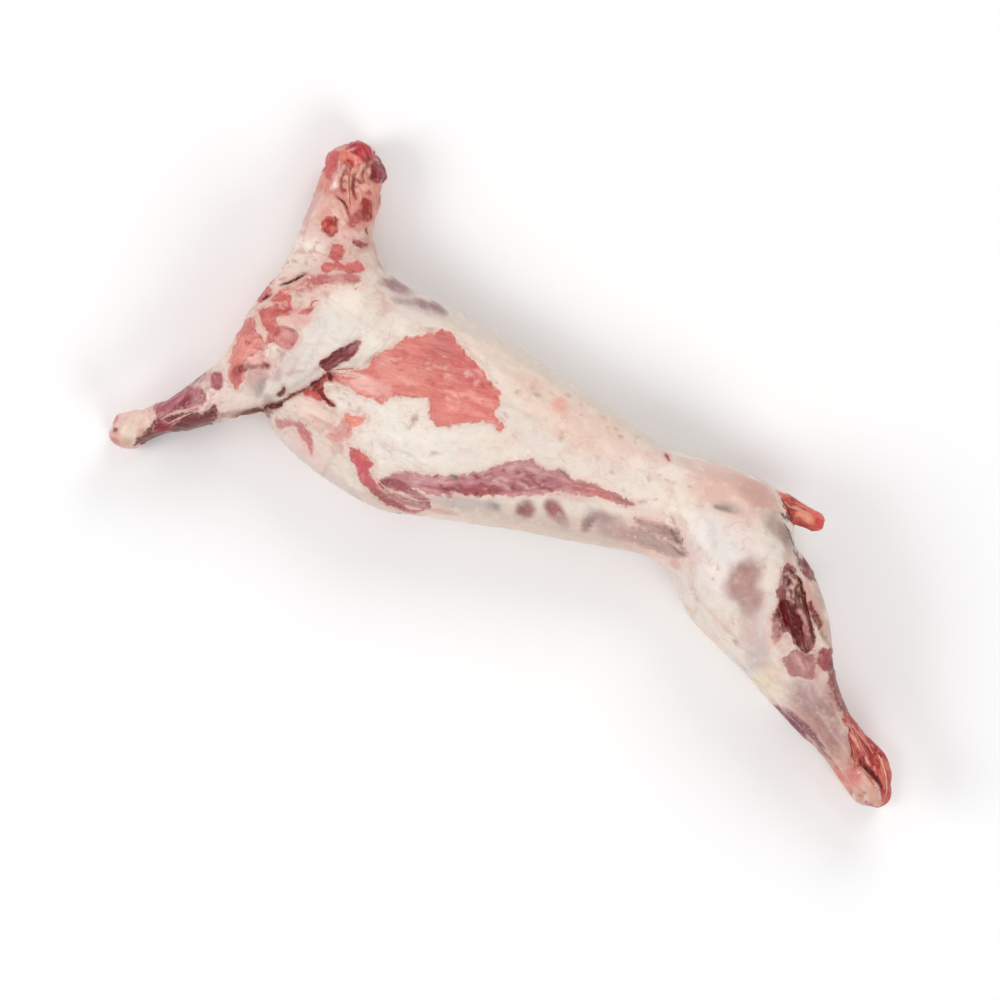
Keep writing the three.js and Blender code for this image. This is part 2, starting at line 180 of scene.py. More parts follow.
    ("E0ABA0", 334, 30, 30, 4, -50, 0.9), ("C79890", 350, 22, 16, 6, -45, 0.7),
    ("DDBDB4", 380, -36, 5, 20, 28, 0.8), ("D0A59C", 392, -48, 8, 10, 20, 0.7),
    ("DCCBC2", 408, -62, 14, 10, -40, 0.9), ("AE8A87", 412, -92, 52, 30, -22, 0.95),
    ("B08A86", 424, -66, 22, 8, -44, 0.8), ("B08480", 446, -112, 34, 17, -26, 0.95),
    ("A27C74", 466, -122, 20, 14, -34, 0.9), ("C29482", 480, -126, 10, 20, 30, 0.9),
    ("D9A0A0", 430, -127, 30, 4, -16, 0.8), ("C98F82", 480, -144, 20, 7, -20, 0.9),
    ("9E6A5C", 475, -131, 4, 3, 0, 0.8), ("DA8A7E", 503, -144, 14, 16, 10, 0.95),
    ("DC9080", 514, -156, 14, 9, -20, 0.95), ("D8A592", 525, -142, 16, 9, -20, 0.95),
    ("CF9A84", 538, -150, 18, 10, -40, 0.9), ("C4706A", 556, -156, 8, 12, 20, 0.95),
    ("B8685E", 524, -154, 4, 3, 0, 0.8),
)

# Soft strokes in the fat: colour, half width, how far they stand out, line, softness.
Stroke = namedtuple("Stroke", "tint width rise line soft", defaults=(1.0,))
FAT_STROKES = (
    # 8E7670: painted shadow along the foreleg's lower edge, where it lies over the chest.
    Stroke("8E7670", 5, 0, ((-452, -154), (-430, -139), (-410, -125), (-396, -113)), 2.5),
    Stroke("8C706C", 3.4, 0, ((414, -73), (424, -79), (436, -86), (452, -94)), 3),
    Stroke("957874", 3, 0, ((398, -98), (416, -102), (436, -106)), 3),
    Stroke("A58782", 2.4, 0, ((402, -108), (424, -113), (448, -122)), 3),
    Stroke("A6877E", 3, 0, ((462, -96), (470, -108), (482, -122), (494, -136)), 3),
    Stroke("A8826F", 2.6, 0, ((366, 2), (374, -4), (383, -9), (392, -14)), 2),
    Stroke("D9A59C", 2.6, 0, ((-290, -97), (-300, -90), (-318, -88), (-345, -90)), 3),
    Stroke("CFA9A6", 3, 0, ((-476, 172), (-478, 150), (-474, 128), (-468, 108)), 3),
    Stroke("E3A89E", 2.2, 0, ((-468, 82), (-460, 88), (-452, 94), (-438, 99), (-426, 100)), 2.5),
    Stroke("D8B6AC", 2.6, 0, ((-352, 96), (-334, 88), (-322, 74), (-334, 66)), 3),
    Stroke("B08E84", 3, 0, ((-384, 148), (-378, 134), (-366, 126), (-350, 121)), 3),
    Stroke("D5C8BE", 3, 0, ((-300, 96), (-270, 104), (-240, 108), (-200, 104)), 4),
    Stroke("CFBDB4", 3, 0, (
        (-170, -114), (-130, -100), (-90, -86), (-50, -74), (0, -58), (60, -42), (120, -26)), 4),
    Stroke("C9AEA2", 2.2, 0, ((-468, 8), (-474, -6), (-478, -18), (-481, -32)), 1.6),
    Stroke("D2BDB2", 2.4, 0, ((-412, -36), (-408, -52), (-412, -66)), 2.4),
    Stroke("C7ACA6", 2.2, 0, ((-394, -60), (-386, -50), (-376, -44)), 3),
    Stroke("B98070", 2.2, 0, ((-426, 148), (-428, 141), (-425, 134)), 1.6),
    Stroke("DDB9AE", 2.4, 0, ((-372, -74), (-352, -70), (-330, -70), (-306, -72)), 3),
    Stroke("DDC2B4", 2.2, 0, ((-360, -96), (-340, -98), (-318, -100), (-298, -104)), 3),
    Stroke("BCA79E", 2.0, 0, ((-292, -106), (-286, -103), (-281, -112)), 1.6),
    Stroke("D9C7BC", 2.4, 0, ((-140, 44), (-120, 52), (-96, 50), (-74, 56)), 4),
    Stroke("DCCABF", 2.4, 0, ((60, 62), (88, 66), (112, 60), (134, 40)), 4),
    Stroke("D5C3B8", 2.0, 0, ((-104, -92), (-70, -82), (-30, -72)), 3),
    Stroke("C9A79E", 2.4, 0, ((-140, -112), (-126, -108), (-112, -106)), 2),
    Stroke("D8A39C", 2.0, 0, ((-160, -120), (-146, -116), (-132, -112), (-120, -106)), 2),
    Stroke("9F8A80", 2.0, 0, ((140, 22), (146, 16), (152, 11)), 1.6),
    Stroke("C7B5A6", 2.4, 0, ((82, 25), (87, 30), (89, 36)), 2),
    Stroke("E0D2C8", 3, 0, ((-225, 108), (-190, 112), (-150, 108)), 4),
    Stroke("E3C9BE", 3, 0, ((210, -44), (236, -52), (262, -60), (290, -66)), 4),
    Stroke("D9CCC6", 2.6, 0, ((168, 50), (186, 40), (196, 22)), 4),
    Stroke("CDB9AE", 2.6, 0, ((222, 96), (236, 84), (244, 70)), 4),
)

# Patches of bare flesh: colour, outline, grain in degrees, depth under the fat, raggedness, softness of the
# edge, thickness. A patch with a thickness stays that near the plane between the two sides, and one with a
# thickness below zero stays that far from it.
Flesh = namedtuple("Flesh", "tint outline grain depth rag soft thickness", defaults=(0, 1.0, 1.6, 1.0, 0))
FLESH = {
    "back muscle": Flesh("DA7B71", (
        (-303, 22), (-296, 38), (-287, 54), (-277, 64), (-266, 74), (-256, 81), (-247, 92), (-237, 94),
        (-225, 88), (-212, 82), (-200, 78), (-188, 74), (-176, 73), (-167, 64), (-158, 62), (-148, 60),
        (-141, 52), (-139, 42), (-141, 28), (-130, 26), (-120, 22), (-121, 14), (-126, 19), (-134, 17),
        (-143, 17), (-150, 9), (-165, 0), (-174, -8), (-183, -16), (-195, -20), (-205, -14), (-211, -6),
        (-214, 3), (-218, 7), (-224, 4), (-232, 2), (-241, -1), (-250, -8), (-262, -14), (-268, -24),
        (-274, -28), (-285, -32), (-300, -35), (-318, -32), (-335, -38), (-343, -32), (-334, -22),
        (-318, -10), (-309, 2), (-306, 12)), 17, 1.7, 2.4),
    "rib band": Flesh("C4898B", (
        (-223, -118), (-214, -107), (-206, -96), (-197, -92), (-190, -87), (-181, -85), (-165, -79),
        (-154, -76), (-144, -66), (-136, -62), (-126, -52), (-112, -42), (-105, -32), (-97, -24),
        (-88, -12), (-78, -6), (-72, -1), (-60, 5), (-46, 2), (-38, 2), (-30, 9), (-20, 11), (-10, 7),
        (2, 12), (14, 15), (24, 14), (38, 17), (52, 19), (66, 20), (80, 23), (84, 21), (76, 15), (60, 12),
        (42, 7), (25, 2), (8, -5), (-8, -12), (-26, -22), (-50, -38), (-72, -52), (-92, -64), (-108, -74),
        (-125, -82), (-142, -93), (-160, -99), (-180, -105), (-200, -110), (-214, -118)), 22, 2.0, 2.4),
    "brisket strip": Flesh("C9686B", (
        (-279, -97), (-262, -98), (-248, -101), (-238, -103), (-243, -112), (-232, -121), (-218, -128),
        (-200, -131), (-180, -131), (-162, -126), (-150, -120), (-158, -130), (-175, -136), (-198, -139),
        (-222, -138), (-242, -130), (-258, -119), (-270, -107)), 118, 1.6, 1.8),
    "upper strip": Flesh("A35C61", (
        (-224, -121), (-218, -115), (-208, -108), (-196, -103), (-184, -106), (-172, -104), (-160, -108),
        (-148, -111), (-158, -114), (-176, -113), (-190, -116), (-204, -120), (-216, -125)), 14, 1.2, 1.8),
    "lower strip": Flesh("AD7D7C", (
        (-214, -128), (-196, -122), (-178, -118), (-160, -114), (-148, -112), (-152, -120), (-168, -127),
        (-188, -131), (-204, -132)), 12, 1.0, 1.8, 1.6),
    "shoulder blade muscle": Flesh("7C3038", (
        (-331, 25), (-337, 21), (-343, 14), (-348, 6), (-353, -2), (-357, -10), (-362, -18), (-363, -26),
        (-357, -30), (-350, -29), (-346, -21), (-341, -13), (-337, -6), (-333, 2), (-330, 11)),
        62, 1.8, 1.0),
    "armpit strands": Flesh("B85F58", (
        (-354, -44), (-351, -34), (-346, -27), (-336, -24), (-328, -26), (-332, -33), (-340, -38),
        (-346, -43)), 40, 0.6, 1.6, 1.8),
    "armpit red": Flesh("8A1E1C", (
        (-362, -57), (-358, -49), (-353, -44), (-348, -43), (-347, -48), (-344, -54), (-338, -58),
        (-330, -61), (-320, -63), (-329, -66), (-340, -65), (-350, -60)), 60, 3.0, 1.2),
    "armpit fringe": Flesh("C4524A", (
        (-365, -63), (-356, -58), (-346, -61), (-336, -65), (-331, -67), (-345, -68), (-356, -69),
        (-364, -69)), 20, 1.0, 1.6, 1.4),
    "chest orange": Flesh("E98C7C", (
        (-304, -64), (-292, -63), (-284, -59), (-277, -56), (-275, -61), (-277, -67), (-283, -74),
        (-288, -82), (-294, -76), (-299, -70)), 30, 0.6, 2.0, 1.6),
    "chest pink": Flesh("D99A92", (
        (-300, -70), (-292, -74), (-287, -84), (-279, -90), (-286, -95), (-294, -101), (-312, -103),
        (-304, -95), (-300, -84)), 60, 0.5, 2.4, 3.0),
    "front chest": Flesh("C78A86", (
        (-380, -114), (-372, -112), (-362, -108), (-352, -104), (-342, -102), (-338, -106), (-344, -110),
        (-354, -111), (-361, -117), (-368, -123), (-377, -123)), 25, 0.9, 1.6, 1.6),
    "front chest line": Flesh("CC7C7E", (
        (-347, -108), (-339, -106), (-332, -107), (-326, -114), (-320, -124), (-315, -131), (-322, -130),
        (-329, -124), (-335, -118), (-341, -117), (-346, -114)), -45, 0.9, 1.6, 1.2),
    "shoulder upper red": Flesh("CE6C68", (
        (-458, 14), (-456, 22), (-453, 31), (-449, 37), (-446, 39), (-443, 36), (-441, 30), (-436, 26),
        (-434, 21), (-430, 21), (-426, 13), (-432, 12), (-438, 15), (-444, 17), (-452, 13)), 60, 1.2, 1.4),
    "shoulder middle red": Flesh("CE6B66", (
        (-466, -7), (-462, 1), (-456, 7), (-449, 12), (-441, 15), (-433, 17), (-429, 12), (-434, 8),
        (-440, 2), (-442, -3), (-438, -8), (-433, -12), (-431, -20), (-435, -26), (-443, -23), (-450, -20),
        (-457, -16), (-463, -11)), 45, 1.2, 1.4),
    "shoulder block": Flesh("CF8783", (
        (-435, -14), (-431, -9), (-427, -6), (-418, -5), (-404, -5), (-403, -16), (-405, -27), (-412, -31),
        (-422, -32), (-430, -29), (-437, -25)), 5, 1.2, 0.8),
    "shoulder joint red": Flesh("CB6661", (
        (-441, -27), (-436, -26), (-429, -30), (-433, -35), (-437, -39), (-440, -34)), 60, 0.8, 1.4, 1.6),
    "shoulder long red top": Flesh("D27B74", (
        (-468, -16), (-463, -21), (-459, -28), (-454, -34), (-457, -40), (-464, -44), (-470, -48),
        (-476, -44), (-481, -36), (-481, -30), (-477, -24)), 50, 1.0, 1.6),
    "shoulder long red": Flesh("DE8A81", (
        (-458, -34), (-449, -31), (-443, -33), (-440, -40), (-440, -50), (-443, -58), (-448, -66),
        (-449, -74), (-441, -80), (-438, -92), (-441, -100), (-438, -107), (-446, -107), (-454, -102),
        (-460, -94), (-464, -86), (-468, -76), (-470, -66), (-470, -56), (-472, -47), (-466, -42)),
        74, 1.2, 1.8),
    "shoulder fork": Flesh("E0A69E", (
        (-441, -38), (-435, -44), (-429, -51), (-424, -57), (-417, -59), (-415, -66), (-423, -68),
        (-432, -71), (-441, -76), (-449, -78), (-449, -68), (-444, -58), (-441, -48)), 60, 0.6, 2.0, 2.4),
    "shoulder fork dark": Flesh("8E4C4B", (
        (-452, -80), (-445, -75), (-437, -71), (-430, -67), (-426, -61), (-420, -58), (-416, -62),
        (-420, -66), (-428, -70), (-436, -75), (-442, -80), (-448, -88)), 30, 0.8, 1.4, 1.8),
    "shoulder arm red": Flesh("CB736C", (
        (-416, 41), (-410, 40), (-406, 32), (-406, 24), (-411, 19), (-420, 18), (-427, 13), (-431, 19),
        (-425, 22), (-416, 24), (-411, 30), (-413, 36)), 30, 0.8, 1.8, 1.6),
    "shoulder edge red": Flesh("B75A58", (
        (-500, 46), (-490, 60), (-474, 57), (-468, 53), (-471, 46), (-472, 40), (-469, 33), (-476, 30),
        (-496, 34)), 80, 0.8, 1.6),
    "shoulder edge low": Flesh("D06464", (
        (-496, 32), (-470, 30), (-465, 24), (-462, 20), (-466, 12), (-470, 6), (-478, 6), (-496, 14)),
        80, 0.8, 1.4),
    "shoulder seam": Flesh("C4756F", (
        (-448, 37), (-444, 44), (-439, 50), (-436, 57), (-430, 65), (-421, 74), (-410, 80), (-398, 86),
        (-386, 94), (-376, 98), (-372, 92), (-382, 84), (-396, 78), (-406, 72), (-412, 63), (-419, 55),
        (-428, 47), (-438, 40)), 36, 0.8, 2.0, 2.4),
    "neck base upper": Flesh("C9605A", (
        (-429, 118), (-425, 111), (-426, 104), (-421, 98), (-413, 101), (-408, 108), (-408, 118),
        (-416, 120)), 40, 1.0, 1.8, 1.2),
    "neck base lower": Flesh("D76B65", (
        (-423, 92), (-413, 97), (-405, 102), (-398, 104), (-392, 110), (-386, 114), (-378, 113),
        (-376, 104), (-383, 98), (-390, 95), (-400, 93), (-409, 90), (-413, 84), (-415, 77), (-422, 79),
        (-424, 86)), 25, 1.0, 1.8, 1.2),
    "neck base dark": Flesh("9A504C", (
        (-409, 131), (-405, 137), (-396, 140), (-388, 138), (-393, 133), (-402, 129)), 10, 0.9, 1.6, 1.4),
    "neck folds": Flesh("DC9284", (
        (-516, 214), (-500, 236), (-480, 252), (-452, 262), (-430, 256), (-408, 240), (-394, 216),
        (-388, 196), (-394, 176), (-404, 160), (-412, 148), (-422, 144), (-432, 150), (-442, 160),
        (-452, 170), (-462, 172), (-476, 170), (-492, 176), (-510, 190)), -58, 0.4, 2.5, 3.6),
    "neck tip": Flesh("B22C38", (
        (-480, 236), (-476, 250), (-466, 262), (-452, 264), (-442, 256), (-438, 244), (-440, 236),
        (-446, 232), (-453, 231), (-459, 233), (-465, 232)), -30, -0.6, 1.8, 1.2),
    "neck tip skirt": Flesh("E5796B", (
        (-486, 222), (-477, 232), (-468, 232), (-459, 233), (-450, 231), (-452, 223), (-458, 218),
        (-463, 224), (-470, 226), (-476, 219)), -30, 0.3, 2.0, 1.8),
    "neck dimple": Flesh("BC363C", (
        (-473, 222), (-468, 226), (-463, 224), (-459, 220), (-462, 216), (-469, 216)), 0, 1.4, 1.2, 1.2),
    "neck side": Flesh("CB5A5A", (
        (-504, 220), (-486, 228), (-480, 216), (-477, 206), (-472, 196), (-474, 188), (-482, 192),
        (-500, 202)), -70, 0.4, 1.4, 1.4),
    "neck lump": Flesh("8A222A", (
        (-439, 230), (-436, 240), (-430, 250), (-416, 250), (-406, 236), (-408, 222), (-420, 216),
        (-427, 214), (-434, 218), (-438, 224)), 20, -0.8, 1.4, 1.2),
    "neck gap": Flesh("A63C38", (
        (-423, 191), (-415, 191), (-410, 185), (-407, 178), (-403, 172), (-406, 165), (-412, 162),
        (-419, 165), (-422, 171), (-418, 178), (-423, 184)), -60, 1.8, 1.6, 1.3),
    "neck gap tail": Flesh("B45C54", (
        (-424, 167), (-414, 164), (-413, 156), (-418, 148), (-425, 152)), -60, 0.9, 1.8, 1.6),
    "neck spot": Flesh("B03C32", (
        (-454, 144), (-447, 149), (-442, 151), (-437, 145), (-433, 138), (-431, 130), (-435, 125),
        (-444, 123), (-451, 126), (-454, 135)), -50, 1.4, 1.6, 1.1),
    "upper leg spot": Flesh("A85C66", (
        (-479, -106), (-473, -101), (-465, -102), (-459, -109), (-458, -118), (-463, -122), (-470, -122),
        (-474, -117), (-478, -112)), 0, 0.6, 1.0, 1.8),
    "upper leg edge": Flesh("966874", (
        (-514, -100), (-489, -102), (-485, -110), (-487, -118), (-491, -126), (-496, -132), (-504, -142),
        (-522, -140), (-518, -118)), 70, 0.4, 1.8, 2.2),
    "forearm upper": Flesh("A45C64", (
        (-518, -146), (-503, -139), (-493, -134), (-485, -130), (-477, -130), (-472, -136), (-469, -146),
        (-473, -154), (-481, -162), (-490, -169), (-498, -175), (-504, -184), (-508, -196), (-518, -192),
        (-524, -176), (-524, -158)), 58, 1.2, 1.8, 2.2),
    "forearm lower": Flesh("75393E", (
        (-454, -139), (-448, -145), (-446, -158), (-446, -176), (-456, -192), (-472, -208), (-488, -222),
        (-504, -236), (-520, -246), (-522, -230), (-518, -214), (-516, -201), (-509, -191), (-503, -184),
        (-497, -176), (-488, -170), (-480, -164), (-470, -161), (-462, -153), (-458, -145)),
        44, 1.2, 1.4, 1.2),
    # Partly dark flesh, partly painted shade along the foreleg's lower edge, where it lies over the chest.
    "leg under edge and shade": Flesh("8A5850", (
        (-384, -110), (-397, -112), (-407, -119), (-418, -131), (-430, -142), (-424, -146), (-412, -138),
        (-400, -126), (-390, -119)), 40, 0.6, 1.4, 2.4),
    "flank streak": Flesh("A48580", (
        (88, 5), (97, 9), (107, 8), (116, 15), (126, 14), (134, 16), (141, 19), (147, 15), (154, 10),
        (158, 5), (148, 3), (138, 4), (126, 1), (112, 2), (102, 0)), 10, 0.3, 2.0, 3.0),
    "flank lower streak": Flesh("BBA29C", (
        (92, -6), (112, -3), (130, -4), (148, -2), (162, -1), (167, -3), (160, -9), (146, -12), (126, -14),
        (104, -20)), 10, 0.2, 2.2, 4.5),
    "tail": Flesh("DD6D61", (
        (234, 129), (246, 133), (262, 138), (280, 142), (298, 140), (312, 132), (320, 121), (312, 108),
        (296, 98), (278, 96), (262, 94), (252, 101), (245, 112), (238, 122)), 0, 0.0, 2.0, 1.2, 20),
    "tail root": Flesh("8A2418", (
        (239, 122), (247, 120), (256, 113), (264, 107), (268, 98), (254, 97), (245, 104)),
        -20, 0.6, 1.6, 1.4, 50),
    "thigh hollow": Flesh("9A5E5A", (
        (284, 46), (290, 53), (298, 51), (305, 47), (313, 42), (319, 38), (324, 31), (330, 22), (337, 15),
        (345, 8), (353, 0), (360, -6), (366, -13), (370, -18), (371, -26), (368, -34), (362, -38),
        (357, -34), (352, -33), (346, -32), (340, -27), (334, -22), (330, -23), (327, -29), (320, -25),
        (316, -19), (308, -18), (303, -13), (303, -4), (300, 4), (296, 10), (292, 20), (290, 30)),
        -46, 2.4, 2.2, 1.1),
    "thigh hollow floor": Flesh("6C2125", (
        (302, 7), (308, 12), (315, 11), (320, 6), (325, 2), (332, 2), (338, 0), (343, -6), (348, -12),
        (354, -17), (362, -25), (368, -28), (366, -35), (360, -36), (352, -32), (346, -29), (340, -25),
        (334, -20), (327, -19), (320, -17), (314, -13), (307, -13), (304, -6), (306, 0)),
        -46, 2.8, 2.0, 1.1),
    "pink thigh muscle": Flesh("A87470", (
        (351, -33), (358, -36), (368, -36), (374, -31), (380, -37), (385, -44), (389, -52), (394, -60),
        (386, -62), (378, -64), (372, -67), (366, -70), (361, -69), (355, -64), (347, -62), (342, -58),
        (346, -50), (349, -42)), -30, 0.8, 1.2, 1.2),
    "pink thigh tongue": Flesh("A87472", (
        (304, -17), (312, -17), (320, -22), (327, -28), (325, -36), (326, -47), (320, -40), (314, -31),
        (308, -24)), -60, 0.8, 1.4, 2.2),
    "thigh red spot": Flesh("A04A4E", (
        (379, -25), (384, -19), (390, -14), (398, -12), (412, -16), (416, -30), (407, -39), (398, -43),
        (390, -42), (385, -37), (381, -31)), -40, 1.4, 2.0, 1.6),
    "thigh crease": Flesh("80382F", (
        (336, 27), (344, 23), (352, 18), (361, 12), (368, 3), (360, 3), (350, 9), (341, 15)),
        -40, 1.4, 1.6, 1.4),
    "buttock red": Flesh("741C16", (
        (298, 62), (304, 72), (316, 80), (332, 74), (336, 60), (331, 50), (323, 47), (315, 51), (306, 56)),
        -40, 1.0, 1.6, 1.4, -18),
    "hamstring strip": Flesh("8A4A48", (
        (396, -12), (416, -16), (430, -34), (444, -50), (458, -62), (472, -74), (456, -85), (446, -80),
        (437, -74), (427, -67), (416, -60), (407, -49), (401, -38)), -44, 0.8, 1.8, 2.4),
    "shin strip": Flesh("7C3A4A", (
        (374, -111), (386, -111), (398, -112), (412, -114), (426, -119), (440, -126), (468, -141),
        (456, -158), (420, -154), (392, -142), (370, -128)), -17, 0.8, 1.0, 2.0),
    "hock": Flesh("B4463E", (
        (448, -66), (462, -70), (482, -76), (506, -80), (532, -82), (552, -100), (570, -130), (578, -160),
        (556, -164), (550, -152), (544, -142), (536, -137), (528, -135), (520, -131), (510, -129),
        (501, -127), (497, -136), (491, -128), (485, -120), (479, -112), (473, -105), (467, -98),
        (461, -93), (455, -88), (449, -82)), -40, 0.8, 1.8, 1.4),
    "hock low red": Flesh("D68378", (
        (486, -122), (494, -130), (501, -128), (508, -134), (510, -146), (504, -154), (494, -150),
        (492, -138)), 60, 0.2, 2.0, 4.0),
    "hock end": Flesh("AE4048", (
        (531, -163), (538, -161), (546, -163), (556, -162), (562, -160), (562, -170), (544, -174),
        (534, -170)), -20, 0.6, 1.4, 1.4),
    "hock lower tip": Flesh("8E4A4A", (
        (516, -163), (522, -161), (525, -164), (524, -172), (516, -170)), 0, 0.4, 1.2, 1.4),
}

